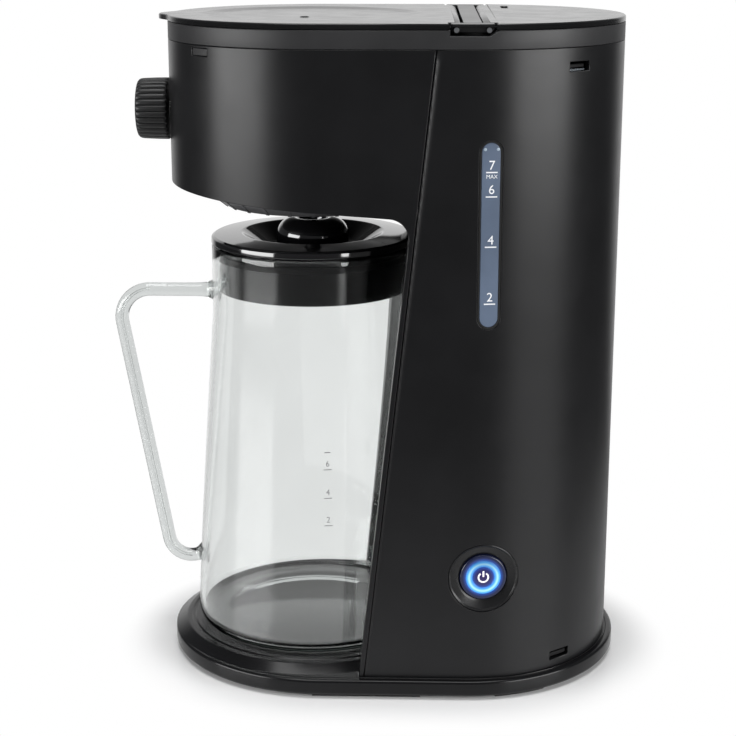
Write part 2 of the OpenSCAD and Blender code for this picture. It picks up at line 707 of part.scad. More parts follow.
// Brew basket with its bowl, the mesh filter in it, and the sprung drip valve in its outlet
mesh_z = basket_low + basket_t + gap;
hole_r = 5;
module basket_shape(d) rotate_extrude() polygon([[0, bowl_z + d], [bowl_r - 18 - d, bowl_z + d],
  [bowl_r - 8 - d, bowl_z + 2.4 + d], [bowl_r - 2.5 - d, bowl_z + 6 + d * 0.6], [bowl_r - d, bowl_z + 10],
  [bowl_r - d, basket_low + d],
  [basket_r - d, basket_low + d], [basket_r - d, basket_top + d * 2], [0, basket_top + d * 2]]);
module brew_basket() color([0.14, 0.14, 0.15]) at_jug() {
  difference() {
    union() {
      basket_shape(0);
      translate([0, 0, basket_top - 2]) cylinder(r = basket_r + 3.8, h = 2);
    }
    basket_shape(basket_t);
    cylinder(r = hole_r, h = big);
  }
  difference() {
    union() {
      translate([0, 0, cage_z]) cylinder(r = 11.5, h = 2);
      for (i = [0 : 2]) rotate([0, 0, i * 120]) translate([10, 0, bowl_floor - 0.5])
        cylinder(r = 1.4, h = cage_z - bowl_floor + 1);
    }
    cylinder(r = 2.4, h = big);
  }
}
module mesh_filter() color([0.8, 0.78, 0.7]) at_jug() {
  tube_h = basket_top - 3 - mesh_z;
  difference() {
    translate([0, 0, mesh_z]) cylinder(r = basket_r - basket_t - gap, h = tube_h);
    translate([0, 0, mesh_z + 0.8]) cylinder(r = basket_r - basket_t - gap - 0.8, h = tube_h);
  }
}
head_low = bowl_floor + 1.5;
module drip_valve() color([0.8, 0.8, 0.8]) at_jug() {
  translate([0, 0, valve_tip_z + 1]) cylinder(r = 4, h = head_low - valve_tip_z - 0.5);
  translate([0, 0, valve_tip_z]) cylinder(r1 = 3, r2 = 4, h = 1);
  translate([0, 0, head_low]) cylinder(r = 7.6, h = 2.5);
  translate([0, 0, head_low + 2]) cylinder(r = 2, h = cage_z - head_low - 1.5);
}
module valve_seal() color([0.5, 0.15, 0.1]) at_jug(bowl_floor + gap)
  tube(7.4, 4.1, head_low - bowl_floor - gap);
module valve_spring() color([0.75, 0.76, 0.78]) at_jug(head_low + 2.5) tube(5, 3.4, cage_z - head_low - 2.5);

// Glass jug: a turned vessel that tapers to a straight neck
// Points of the glass wall, inset by t, from a rounded floor at z = low up to the neck
wall_rings = 10;
function wall_z(low, i) = low + jug_corner + (neck_z - low - jug_corner) * i / wall_rings;
function floor_arc(low, t) = let (mid = [glass_r(low + jug_corner) - t - jug_corner, low + jug_corner])
  [for (a = [-90 : 15 : 0]) mid + jug_corner * [cos(a), sin(a)]];
function wall_points(low, t) = concat([[0, low]], floor_arc(low, t),
  [for (i = [1 : wall_rings]) [glass_r(wall_z(low, i)) - t, wall_z(low, i)]]);
module jug_outer() rotate_extrude() polygon(concat(wall_points(jug_z, 0),
  [[jug_neck_r, jug_rim_z - 0.8], [jug_neck_r - 0.8, jug_rim_z], [0, jug_rim_z]]));
module jug_inner() rotate_extrude() polygon(concat(wall_points(jug_z + jug_floor, glass_t),
  [[neck_in_r, jug_rim_z + 1], [0, jug_rim_z + 1]]));
module jug_glass() color([0.85, 0.9, 0.92, 0.35]) at_jug() difference() {
  jug_outer();
  jug_inner();
}

// Handle: one bent glass rod, cut to the glass where it is fused on
bend_r = 15.5;
low_bend_r = 12;
low_turn = 95;
bend_y = bend_r + rod_r - handle_reach;
bend_z = handle_top_z - bend_r;
grip_top = [bend_y - bend_r * cos(handle_lean), bend_z - bend_r * sin(handle_lean)];
grip_low_z = handle_low_z + low_bend_r * (1 - sin(handle_lean));
grip_l = (grip_top.y - grip_low_z) / cos(handle_lean);
grip_low = grip_top + grip_l * [sin(handle_lean), -cos(handle_lean)];
low_mid = grip_low + low_bend_r * [cos(handle_lean), sin(handle_lean)];
end_a = 180 + handle_lean + low_turn;
low_joint_z = handle_low_z + 3;
pad_span = 15;
rod_end = low_mid + low_bend_r * [cos(end_a), sin(end_a)];
module bend(mid, r, from, turn) translate([0, mid.x, mid.y]) rotate([90, 0, 90]) rotate([0, 0, from])
  rotate_extrude(angle = turn) translate([r, 0]) circle(r = rod_r);
module rod_along(p, angle, l, r1, r2) translate([0, p.x, p.y]) rotate([angle - 90, 0, 0])
  translate([0, 0, -0.5]) cylinder(r1 = r1, r2 = r2, h = l + 1);
straight_r = rod_r - 0.02;
module jug_handle() color([0.85, 0.9, 0.92, 0.5]) at_jug() {
  difference() {
    translate([0, 0, handle_top_z]) rod_y(straight_r, bend_y - 0.5, 6 - jug_neck_r);
    cylinder(r = jug_neck_r + 0.02, h = big);
  }
  difference() {
    translate([0, -jug_neck_r - 4, handle_top_z]) rotate([-90, 0, 0])
      cylinder(r1 = rod_r + 0.4, r2 = rod_r + 2.4, h = 8);
    cylinder(r = jug_neck_r + 0.02, h = big);
  }
  bend([bend_y, bend_z], bend_r, 90, 90 + handle_lean);
  rod_along(grip_top, handle_lean - 90, grip_l, straight_r, straight_r);
  bend(low_mid, low_bend_r, 180 + handle_lean, low_turn);
  difference() {
    rod_along(rod_end, end_a - 270, 18, straight_r, rod_r + 1.6);
    translate([0, 0, low_joint_z - pad_span]) cylinder(r1 = glass_r(low_joint_z - pad_span) + 0.1,
      r2 = glass_r(low_joint_z + pad_span) + 0.1, h = 2 * pad_span);
  }
}

// Jug lid: a skirt in the neck, a flange over the rim, a dished top and the raised collar
dish_t = 2.2;
module jug_lid() color([0.04, 0.04, 0.045]) at_jug() rotate_extrude() polygon([
  [skirt_r, flange_z - skirt_h], [skirt_r, flange_z], [jug_neck_r - 0.4, flange_z],
  [jug_neck_r + 0.2, flange_z + 0.8], [jug_neck_r - 0.2, lid_top_z - 1.4],
  [jug_neck_r - 1.8, lid_top_z - 0.2], [jug_neck_r - 4, lid_top_z],
  [collar_r + 5, flange_z], [collar_r, flange_z + 0.4], [collar_r, collar_z - 3.6],
  [collar_r - 1, collar_z - 1.4], [collar_r - 3.4, collar_z], [pour_r + 3, collar_z],
  [pour_r, collar_z - 4], [pour_r, flange_z - 2],
  [collar_r, flange_z - dish_t], [skirt_r - 2.2, flange_z - dish_t], [skirt_r - 2.2, flange_z - skirt_h]]);
module lid_seal() color([0.16, 0.16, 0.16]) at_jug(jug_rim_z - 7) tube(neck_in_r - gap, skirt_r + 0.01, 3);

base_platform();
base_plate();
rubber_feet();
base_screws();
rear_shell();
front_shell();
head_floor();
top_collar();
collar_clips();
hinge_bridge();
hinge_pins();
front_lid();
shower_plate();
rear_lid();
strength_knob();
knob_shaft();
knob_bushing();
strength_valve();
power_button();
button_stem();
light_ring();
button_bezel();
push_switch();
circuit_board();
tank_window();
window_gasket();
water_tank();
tank_strainer();
check_valve();
inlet_hose();
riser_hose();
hose_clamps();
water_spout();
heater_body();
heater_tube();
heater_bracket();
heater_screws();
thermostat();
thermal_fuse();
cord_gland();
brew_basket();
mesh_filter();
drip_valve();
valve_seal();
valve_spring();
jug_glass();
jug_handle();
jug_lid();
lid_seal();
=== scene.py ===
from math import asin, atan2, ceil, cos, degrees, hypot, pi, radians, sin, sqrt, tan

import bmesh
import bpy
import numpy as np
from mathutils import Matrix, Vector, geometry


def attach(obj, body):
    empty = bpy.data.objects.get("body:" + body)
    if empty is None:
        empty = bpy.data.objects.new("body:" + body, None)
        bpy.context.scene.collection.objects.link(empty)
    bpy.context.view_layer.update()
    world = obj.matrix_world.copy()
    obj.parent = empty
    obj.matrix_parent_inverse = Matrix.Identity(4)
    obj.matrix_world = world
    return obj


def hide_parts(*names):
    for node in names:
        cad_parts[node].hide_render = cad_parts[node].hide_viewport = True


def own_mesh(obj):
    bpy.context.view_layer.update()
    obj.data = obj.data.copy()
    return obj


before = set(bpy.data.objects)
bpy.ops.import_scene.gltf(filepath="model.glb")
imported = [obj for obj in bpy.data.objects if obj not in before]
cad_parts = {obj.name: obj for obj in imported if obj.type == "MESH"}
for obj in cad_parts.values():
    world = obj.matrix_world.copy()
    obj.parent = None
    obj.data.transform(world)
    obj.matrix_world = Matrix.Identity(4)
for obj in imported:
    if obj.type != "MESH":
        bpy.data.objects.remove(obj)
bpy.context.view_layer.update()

# Base: a moulded oval tray in black ABS with a rounded rim, which carries the whole machine.
# The jug stands on a round raised seat, and a fine groove runs round the foot of the shells.
MM = 0.001
BODY_R, FRONT_Y, REAR_Y = 79 * MM, -22.4 * MM, 51.1 * MM
BASE_R, BASE_TOP, SEAT_R, SEAT_TOP = 83.5 * MM, 10.4 * MM, 70.5 * MM, 14.4 * MM
JUG_Y = -28.9 * MM


def shown(name, data):
    """An object of the scene, made of this data."""
    piece = bpy.data.objects.new(name, data)
    bpy.context.scene.collection.objects.link(piece)
    return piece


def link(name, mesh, body, *nodes, slot, paint):
    """A piece made of this mesh, riding on a body and standing for CAD nodes."""
    piece = shown(name, mesh)
    mesh.materials.append(paint)
    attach(piece, body)
    if nodes:
        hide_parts(*nodes)
    return piece


def build(points, faces, normals=None):
    """A smooth mesh, with its corner normals where they are given; faces that have closed up are left out."""
    sound, sound_normals, seen = [], [], set()
    for k, face in enumerate(faces):
        corners = [i for i, v in enumerate(face) if v != face[i - 1]]
        key = tuple(sorted(face[i] for i in corners))
        if len(set(key)) == len(corners) > 2 and key not in seen:
            seen.add(key)
            sound.append([face[i] for i in corners])
            sound_normals += [normals[k][i] for i in corners] if normals else []
    mesh = bpy.data.meshes.new("mesh")
    mesh.from_pydata(points, [], sound)
    mesh.shade_smooth()
    if normals:
        mesh.normals_split_custom_set(sound_normals)
    mesh.update()
    return mesh


def joined(*meshes):
    """One mesh of several, which keeps their corner normals."""
    points, faces, normals = [], [], []
    for mesh in meshes:
        start = len(points)
        points += [tuple(v.co) for v in mesh.vertices]
        corner = [tuple(c.vector) for c in mesh.corner_normals]
        for face in mesh.polygons:
            faces.append([start + v for v in face.vertices])
            normals.append([corner[i] for i in face.loop_indices])
    return build(points, faces, normals)


def round_profile(corners, segments=4, unit=1.0):
    """Rounds a closed drawing of (x, y, radius) corners, in metres or in another unit, into a line of points."""
    line = []
    for i, (x, y, r) in enumerate(corners):
        here = Vector((x, y))
        before = Vector(corners[i - 1][:2]) - here
        after = Vector(corners[(i + 1) % len(corners)][:2]) - here
        reach = min(before.length, after.length) * 0.49
        if r <= 0 or reach == 0:
            line.append((x, y))
            continue
        half = before.angle(after) / 2
        cut = min(r / tan(half), reach)
        before.normalize(), after.normalize()
        middle = here + (before + after).normalized() * (cut * tan(half) / sin(half))
        first = here + before * cut - middle
        turn = first.angle_signed(here + after * cut - middle)
        for k in range(segments + 1):
            a = -turn * k / segments
            line.append((middle.x + first.x * cos(a) - first.y * sin(a),
                         middle.y + first.x * sin(a) + first.y * cos(a)))
    return [(x * unit, y * unit) for x, y in line]


def swept(line, place, count, closed=True, hard=30):
    """Carries a closed profile round `place(point, step)`; edges sharper than `hard` stay crisp."""
    points = [place(p, step) for step in range(count) for p in line]
    n, faces = len(line), []
    for step in range(count if closed else count - 1):
        for i in range(n):
            a, b = step * n + i, step * n + (i + 1) % n
            faces.append([a, b, (b + n) % len(points), (a + n) % len(points)])
    if not closed:
        faces += [list(range(n))[::-1], list(range(len(points) - n, len(points)))]
    return crisp(build(points, faces), hard)


def crisp(mesh, angle=30):
    """Outward faces, with soft shading but for edges sharper than the angle."""
    shape = bmesh.new()
    shape.from_mesh(mesh)
    bmesh.ops.remove_doubles(shape, verts=shape.verts, dist=1e-7)
    bmesh.ops.recalc_face_normals(shape, faces=shape.faces)
    for edge in shape.edges:
        edge.smooth = len(edge.link_faces) == 2 and edge.calc_face_angle(0) < radians(angle)
    shape.to_mesh(mesh)
    shape.free()
    return mesh


OVAL = [(radians(a), FRONT_Y) for a in range(180, 361, 3)] + [(radians(a), REAR_Y) for a in range(0, 181, 3)]


def oval_turned(line):
    """Carries a profile of (radius, height) round the body's oval."""
    def place(p, step):
        angle, middle = OVAL[step]
        return p[0] * cos(angle), middle + p[0] * sin(angle), p[1]
    return swept(line, place, len(OVAL))


def turned(line, count=144, hard=30):
    """Turns a closed profile of (radius, height) on the jug's axis."""
    def place(p, step):
        angle = 2 * pi * step / count
        return p[0] * cos(angle), JUG_Y + p[0] * sin(angle), p[1]
    return swept(line, place, count, hard=hard)


def fill(node, inputs):
    """Fills a node's inputs with values, with other nodes' outputs, or with a node's first output."""
    for socket, value in inputs.items():
        value = value.outputs[0] if isinstance(value, bpy.types.Node) else value
        if isinstance(value, bpy.types.NodeSocket):
            node.id_data.links.new(value, node.inputs[socket])
        else:
            node.inputs[socket].default_value = value


def add_node(tree, kind, inputs=None, **settings):
    """A shader node with its settings made and its inputs filled."""
    node = tree.nodes.new("ShaderNode" + kind)
    for setting, value in settings.items():
        setattr(node, setting, value)
    fill(node, inputs or {})
    return node


def finish(name, colour, rough, shade=0.15, grain=900, depth=0.01, spread=0.05, metal=0.0, level=0.5, **sockets):
    """A surface with its own grain: mottled colour, uneven gloss and a fine bump."""
    material = bpy.data.materials.new(name)
    material.use_nodes = True
    tree = material.node_tree
    where = add_node(tree, "TexCoord").outputs["Object"]

    def noise(scale, detail):
        return add_node(tree, "TexNoise", {"Scale": scale, "Detail": detail, "Vector": where})

    mottle = add_node(tree, "ValToRGB", {"Fac": noise(30, 5)})
    for element, at, tone in zip(mottle.color_ramp.elements, (0.35, 0.65), (1 - shade, 1 + shade)):
        element.position, element.color = at, [min(c * tone, 1) for c in colour] + [1]
    gloss = add_node(tree, "MapRange", {"Value": noise(70, 4), "To Min": max(rough - spread, 0),
                                        "To Max": min(rough + spread, 1)})
    bump = add_node(tree, "Bump", {"Height": noise(grain, 3), "Strength": min(depth * 10, 1), "Distance": depth * MM})
    fill(tree.nodes["Principled BSDF"], {
        "Base Color": mottle, "Roughness": gloss, "Normal": bump, "Metallic": metal, "Specular IOR Level": level,
        **{socket.replace("_", " "): value for socket, value in sockets.items()}})
    return material


def dress(paint, *names):
    """Gives carried-over CAD pieces their finish, with soft shading on their round faces."""
    for name in names:
        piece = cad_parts[name]
        piece.data.materials.clear()
        piece.data.materials.append(paint)
        piece.data.shade_smooth()
        piece.data.set_sharp_from_angle(angle=radians(28))


black_abs = finish("satin black ABS", (0.0062, 0.0062, 0.0068), 0.325, grain=1500, depth=0.012, level=0.30)
base_abs = finish("polished black ABS", (0.0055, 0.0055, 0.006), 0.19, grain=1500, depth=0.006, spread=0.03,
                  level=0.24)

DECK_R, DECK_T = 70.2 * MM, 2.5 * MM
rim = [(0.060, 0.0022, 0), (BASE_R - 0.0008, 0.0022, 0.0006), (BASE_R, 0.0034, 0.0006), (BASE_R, BASE_TOP, 0.0022),
       (0.0803, BASE_TOP, 0.0003), (0.0801, BASE_TOP - 0.0004, 0.0001), (0.0795, BASE_TOP - 0.0004, 0.0001),
       (0.0793, BASE_TOP, 0.0003), (DECK_R, BASE_TOP, 0), (DECK_R, BASE_TOP - DECK_T, 0),
       (0.060, BASE_TOP - DECK_T, 0)]
deck = [(DECK_R * cos(a), y + DECK_R * sin(a)) for a, y in OVAL]
base_deck = swept(deck, lambda p, step: (*p, BASE_TOP - DECK_T * step), 2, closed=False)
seat = [(0.0003, BASE_TOP + 0.0005, 0), (SEAT_R + 0.0064, BASE_TOP - 0.0002, 0),
        (SEAT_R + 0.0004, SEAT_TOP - 0.0003, 0.002), (SEAT_R - 0.0020, SEAT_TOP, 0.0006),
        (SEAT_R - 0.0028, SEAT_TOP - 0.0006, 0.0003), (SEAT_R - 0.0038, SEAT_TOP - 0.0006, 0.0003),
        (SEAT_R - 0.0046, SEAT_TOP, 0.0006), (0.0003, SEAT_TOP, 0)]
link("base_tray", joined(oval_turned(round_profile(rim)), base_deck, turned(round_profile(seat))),
     "machine", "base_platform", slot="black_plastic", paint=base_abs)

# Bottom plate, screws and feet: a flat cover closes the tray from below and four self-tapping
# screws hold it. The feet are strips of black rubber, glued on, with a matt fine-sanded face.
under_plastic = finish("grey moulded plastic", (0.022, 0.022, 0.024), 0.5, grain=1200, depth=0.015, level=0.4)
plated_steel = finish("plated steel", (0.56, 0.57, 0.59), 0.28, shade=0.06, grain=2500, depth=0.004, metal=1.0)
black_rubber = finish("black rubber", (0.012, 0.012, 0.012), 0.75, grain=2200, depth=0.03, level=0.3)
dress(under_plastic, "base_plate")
dress(plated_steel, "base_screws")
dress(black_rubber, "rubber_feet")

# Rear shell: the tall U-shaped moulding of the body, in satin black ABS, 2.5 mm thick. Its front
# edges lean back and are rolled over softly; slots for the window, button, clips and cord pass through.
WALL = 2.5 * MM
SHELL_LOW, SHELL_TOP, HALF_SEAM, KNOB_Z = 10.55 * MM, 328 * MM, 0.075 * MM, 291.5 * MM
QUARTER, SIDE = pi / 2 * BODY_R, REAR_Y - FRONT_Y
HALF_ROUND = 2 * QUARTER + SIDE
ROUND, FINE = 2 * HALF_ROUND, BODY_R * radians(3)
SEAM_FOOT, LEAN = -0.9 * MM, radians(6.1)


def seam_y(z):
    """Where the leaning seam between the front and the rear shell runs."""
    return SEAM_FOOT + z * tan(LEAN)


def along(y):
    """How far round the body, from the middle of the front, a point on its straight side is."""
    return QUARTER + y - FRONT_Y


def wrap(s, z, depth=0.0):
    """A point of the body's wall: s runs round it from the middle of the front, towards +X."""
    s = s % ROUND
    mirror = -1 if s > HALF_ROUND else 1
    s = min(s, ROUND - s)
    r = BODY_R - depth
    if s < QUARTER:
        return mirror * r * sin(s / BODY_R), FRONT_Y - r * cos(s / BODY_R), z
    if s < QUARTER + SIDE:
        return mirror * r, FRONT_Y + s - QUARTER, z
    a = (s - QUARTER - SIDE) / BODY_R
    return mirror * r * cos(a), REAR_Y + r * sin(a), z


def sunk(amount):
    """The same wall, lying deeper."""
    return lambda s, z, depth: wrap(s, z, depth + amount)


def area(loop):
    return sum(a[0] * b[1] - b[0] * a[1] for a, b in zip(loop, loop[1:] + loop[:1])) / 2


def inside(points, loops):
    """Which points lie in the first loop and in no other."""
    hit = np.zeros(len(points), bool)
    for loop in loops:
        for (x0, y0), (x1, y1) in zip(loop, loop[1:] + loop[:1]):
            if y0 != y1:
                cross = (points[:, 1] > y0) != (points[:, 1] > y1)
                hit ^= cross & (points[:, 0] < (x1 - x0) * (points[:, 1] - y0) / (y1 - y0) + x0)
    return hit


def set_in(loop, distance):
    """A loop moved towards the material by a distance, square to its own line."""
    moved = []
    for before, here, after in zip(loop[-1:] + loop[:-1], loop, loop[1:] + loop[:1]):
        a = Vector((here[1] - before[1], before[0] - here[0])).normalized()
        b = Vector((after[1] - here[1], here[0] - after[0])).normalized()
        reach = (a + b) / max(1 + a.dot(b), 0.4)
        moved.append((here[0] - reach.x * distance, here[1] - reach.y * distance))
    return moved


def plate(outline, holes, place, depth, edge=0.4 * MM, spots=(), steps=3):
    """A plate cut to a drawing and laid on the surface place(u, v, depth), with its front edges rounded."""
    loops = [loop if (area(loop) > 0) == (k == 0) else loop[::-1] for k, loop in enumerate([outline] + list(holes))]
    rims = [set_in(loop, edge) for loop in loops]
    flat, tiny = [p for rim in rims for p in rim], 1e-5
    count = len(flat)

    def frame_at(u, v):
        du = Vector(place(u + tiny, v, 0)) - Vector(place(u - tiny, v, 0))
        dv = Vector(place(u, v + tiny, 0)) - Vector(place(u, v - tiny, 0))
        return du.normalized(), dv.normalized(), du.cross(dv).normalized()

    # the front's triangles, which meet the spots and stay between the loops
    lines, start = [], 0
    for loop in loops:
        lines += [(start + i, start + (i + 1) % len(loop)) for i in range(len(loop))]
        start += len(loop)
    if len(spots):
        spots = np.array(spots)
        spots = [tuple(p) for p in spots[inside(spots, rims)] if np.hypot(*(np.array(flat) - p).T).min() > edge]
    drawn = [Vector(p) for p in flat + list(spots)]
    found, _, cut, origin, _, _ = geometry.delaunay_2d_cdt(drawn, lines, [], 0, 1e-9, True)
    middles = np.array([[sum(found[v][k] for v in face) / len(face) for k in (0, 1)] for face in cut])
    skin = [[origin[v][0] if origin[v] else 0 for v in face] for face, ok in zip(cut, inside(middles, rims)) if ok]

    # rows of points over the rounded edge and down to the back, each with its normals
    frames = [frame_at(*p) for loop in loops for p in loop]
    outs = [Vector(b) - Vector(a) for loop in loops for a, b in zip(set_in(loop, 1e-4), loop)]
    tangents = [(f[0] * o.x + f[1] * o.y).normalized() for f, o in zip(frames, outs)]
    rows = []
    for k in range(steps + 1):
        a = pi / 2 * k / steps
        inset = [p for loop in loops for p in set_in(loop, edge * (1 - sin(a)))]
        rows.append(([place(u, v, edge * (1 - cos(a))) for u, v in inset],
                     [f[2] * cos(a) + t * sin(a) for f, t in zip(frames, tangents)]))
    rows.append(([place(u, v, depth) for loop in loops for u, v in loop], tangents))
    points, faces, normals = [p for row, _ in rows for p in row], [], []
    for k, ((_, above), (_, below)) in enumerate(zip(rows, rows[1:])):
        for i, j in lines:
            faces.append([(k + 1) * count + i, (k + 1) * count + j, k * count + j, k * count + i])
            normals.append([below[i], below[j], above[j], above[i]])
    base, back = len(points), len(points) - count
    points += [place(u, v, d) for d in (0, depth) for u, v in spots]
    outwards = [f[2] for f in frames] + [frame_at(u, v)[2] for u, v in spots]
    for face in skin:
        faces.append([i if i < count else base + i - count for i in face])
        normals.append([outwards[i] for i in face])
        faces.append([back + i if i < count else base + len(spots) + i - count for i in reversed(face)])
        normals.append([-outwards[i] for i in reversed(face)])
    return build(points, faces, normals)


def arc(x, y, r, start, end, step=7.5):
    """Points on an arc, in degrees."""
    count = max(2, ceil(abs(end - start) / step))
    return [(x + r * cos(radians(start + (end - start) * k / count)),
             y + r * sin(radians(start + (end - start) * k / count))) for k in range(count + 1)]


def window_slot(grow=0.0):
    """The window's upright slot with round ends, or a line beside it."""
    r = SLOT_W / 2
    return arc(SIDE_S, SLOT_LOW + SLOT_LEN - r, r + grow, 0, 180) + arc(SIDE_S, SLOT_LOW + r, r + grow, 180, 360)


def oblong(u, v, across, high, parts=1):
    """A rectangle about (u, v), with each of its level sides in this many parts."""
    run = [u + across * (k / parts - 0.5) for k in range(parts + 1)]
    return [(x, v - high / 2) for x in run] + [(x, v + high / 2) for x in run[::-1]]


def lattice(us, vs):
    return [(u, v) for u in us for v in vs]


def steps_between(a, b, step):
    count = max(1, round((b - a) / step))
    return [a + (b - a) * k / count for k in range(count + 1)]


SIDE_TURN = asin(9.7 * MM / BODY_R)
SIDE_S = QUARTER + SIDE + BODY_R * SIDE_TURN
SLOT_W, SLOT_LOW, SLOT_LEN = 11.6 * MM, 194 * MM, 92 * MM
BUTTON_Z, RECESS_R, CORD_Z = 65 * MM, 18.15 * MM, 37 * MM


def rolled(s, z, depth):
    """The rear wall, whose front edges sink softly towards the seam, most at the top."""
    roll = (1.8 + z * 8.5) * MM
    way = max(min(s, ROUND - s) - along(seam_y(z) + HALF_SEAM), 0)
    return wrap(s, z, 0.3 * roll * max(1 - way / roll, 0) ** 2 + depth)


def right_edge(offset, heights):
    return [(along(seam_y(z) + offset), z) for z in heights]


heights = steps_between(SHELL_LOW, SHELL_TOP, 6 * MM)
front_edge = right_edge(HALF_SEAM, heights)
around = steps_between(front_edge[0][0], ROUND - front_edge[0][0], FINE)
over = steps_between(front_edge[-1][0], ROUND - front_edge[-1][0], FINE)
rear_outline = ([(s, SHELL_LOW) for s in around[:-1]] + [(ROUND - s, z) for s, z in front_edge]
                + [(s, SHELL_TOP) for s in over[::-1][1:-1]] + front_edge[::-1][:-1])
clips = [(s, z) for turn, z in ((radians(41), SHELL_TOP - 9 * MM), (radians(39.5), BASE_TOP + 6.6 * MM))
         for s in (QUARTER + SIDE + BODY_R * turn, HALF_ROUND + QUARTER - BODY_R * turn)]
rear_holes = [window_slot(), arc(SIDE_S, BUTTON_Z, RECESS_R, 0, 354, 6),
              arc(HALF_ROUND, CORD_Z, 8.2 * MM, 0, 348, 12)]
rear_holes += [oblong(s, z, 13 * MM, 4.6 * MM) for s, z in clips]
rear_spots = lattice(steps_between(QUARTER + 6 * MM, ROUND - QUARTER - 6 * MM, FINE), heights[1:-1:2])
for way in (0.35, 0.7, 1.1, 1.6, 2.2, 2.9, 3.6, 4.4, 5.2):
    edge_line = right_edge(HALF_SEAM + way * MM, heights[1:-1])
    rear_spots += edge_line + [(ROUND - s, z) for s, z in edge_line]
link("rear_cover", plate(rear_outline, rear_holes, rolled, WALL, 0.3 * MM, rear_spots), "machine", "rear_shell",
     slot="black_plastic", paint=black_abs)

# Front shell: one moulding that makes the brew head's wall and the front of the column. Its edge
# curves from the head's falling underside into the column, whose face is hollowed for the jug.
LIP, BAY_R, CORNER_R = 2.6 * MM, 69 * MM, 10 * MM
HEAD_LOW, FALL, STEP = 256 * MM, radians(4), BODY_R * radians(2.5)


def head_bottom(y):
    return HEAD_LOW - (y - FRONT_Y + BODY_R) * tan(FALL)


corner_z = head_bottom(SEAM_FOOT - LIP) / (1 + tan(FALL) * tan(LEAN))
corner_y = seam_y(corner_z) - LIP
reach = CORNER_R / tan((pi / 2 - LEAN + FALL) / 2)
corner_mid = (corner_y - reach * cos(FALL) - CORNER_R * sin(FALL),
              corner_z + reach * sin(FALL) - CORNER_R * cos(FALL))
lip_line = [(seam_y(z) - LIP, z) for z in steps_between(SHELL_LOW, corner_z - reach * cos(LEAN), 10 * MM)]
corner_line = arc(*corner_mid, CORNER_R, -degrees(LEAN), 90 - degrees(FALL), 6)
under_line = [(s, head_bottom(wrap(s, 0)[1])) for s in steps_between(0, along(corner_line[-1][0]), STEP)]
right_side = [(along(y), z) for y, z in lip_line + corner_line][:-1] + under_line[::-1]
top_end = along(seam_y(SHELL_TOP) - HALF_SEAM)
top_line = steps_between(-top_end, top_end, STEP)
seam_line = right_edge(-HALF_SEAM, heights)
panel_outline = (seam_line + [(s, SHELL_TOP) for s in top_line[::-1][1:]] + [(-s, z) for s, z in seam_line[::-1][1:]]
                 + [(-s, z) for s, z in right_side] + right_side[::-1][1:])
panel_spots = lattice(steps_between(-top_end, top_end, FINE), steps_between(244 * MM, SHELL_TOP, 8 * MM))
knob_hole = arc(0, KNOB_Z, 6.05 * MM, 0, 345, 15)
TAB_S, TAB_Z = 60 * MM, 324.75 * MM
tab_holes = [oblong(side * TAB_S, TAB_Z, 12 * MM, 3.7 * MM) for side in (1, -1)]
head_panel = plate(panel_outline, [knob_hole] + tab_holes, wrap, WALL, 0.45 * MM, panel_spots)


def column_row(y, z, back=0.0):
    """The column's hollowed front at one height, from one inner wall to the other."""
    r, dy = BAY_R + back, y - JUG_Y
    x = sqrt(BAY_R ** 2 - dy ** 2)
    turn, start = 0.8 * MM, atan2(dy, x) + 0.010
    row = [(BODY_R - WALL, y + back), (x + 4 * turn, y + back), (x + 2 * turn, y + back),
           (x + turn, y + 0.15 * turn + back)]
    row += [(r * cos(a), JUG_Y + r * sin(a)) for a in steps_between(start, pi / 2, (pi / 2 - start) / 24)]
    return [(x, y, z) for x, y in row] + [(-x, y, z) for x, y in row[::-1][1:]]


column_rows = [column_row(y, z) + column_row(y, z, WALL)[::-1] for y, z in lip_line + corner_line[1:9]]
column_front = swept(range(len(column_rows[0])), lambda i, step: column_rows[step][i], len(column_rows), False, 40)
link("front_cover", joined(head_panel, column_front), "machine", "front_shell", slot="black_plastic", paint=black_abs)
dress(black_abs, "head_floor")

# Top collar: the fixed frame that the lids close on, a ring over both shells. It is a separate
# moulding with a finer, paler texture, clipped down through the slots in the rear shell.
collar_abs = finish("textured black ABS", (0.021, 0.021, 0.022), 0.46, grain=1900, depth=0.02, level=0.36)
LID_LOW, LID_TOP, PIN_Z = 337.3 * MM, 340 * MM, 337 * MM
FRONT_PIN, REAR_PIN = 43.5 * MM, 58.8 * MM
collar_line = [(0.0790, 0.32815, 0.0003), (0.0790, 0.3370, 0.0005), (0.0730, 0.3370, 0.0004), (0.0730, 0.32815, 0),
               (0.0740, 0.32815, 0), (0.0740, 0.3226, 0), (0.07635, 0.3226, 0), (0.07635, 0.32815, 0)]
low_collar_line = [(r, min(z, 0.3343), e) for r, z, e in collar_line]
collar_places = [(angle, middle, middle == REAR_Y and middle + BODY_R * sin(angle) < REAR_PIN + 3 * MM)
                 for angle, middle in OVAL]
notch, half = FRONT_PIN - 3 * MM, len(OVAL) // 2
collar_places[half:half] = [(0.0, notch, False), (0.0, notch + 0.01 * MM, True)]
collar_places += [(pi, notch + 0.01 * MM, True), (pi, notch, False)]
high, low = round_profile(collar_line), round_profile(low_collar_line)


def collar_place(pair, step):
    angle, middle, notched = collar_places[step]
    r, z = pair[1 if notched else 0]
    return r * cos(angle), middle + r * sin(angle), z


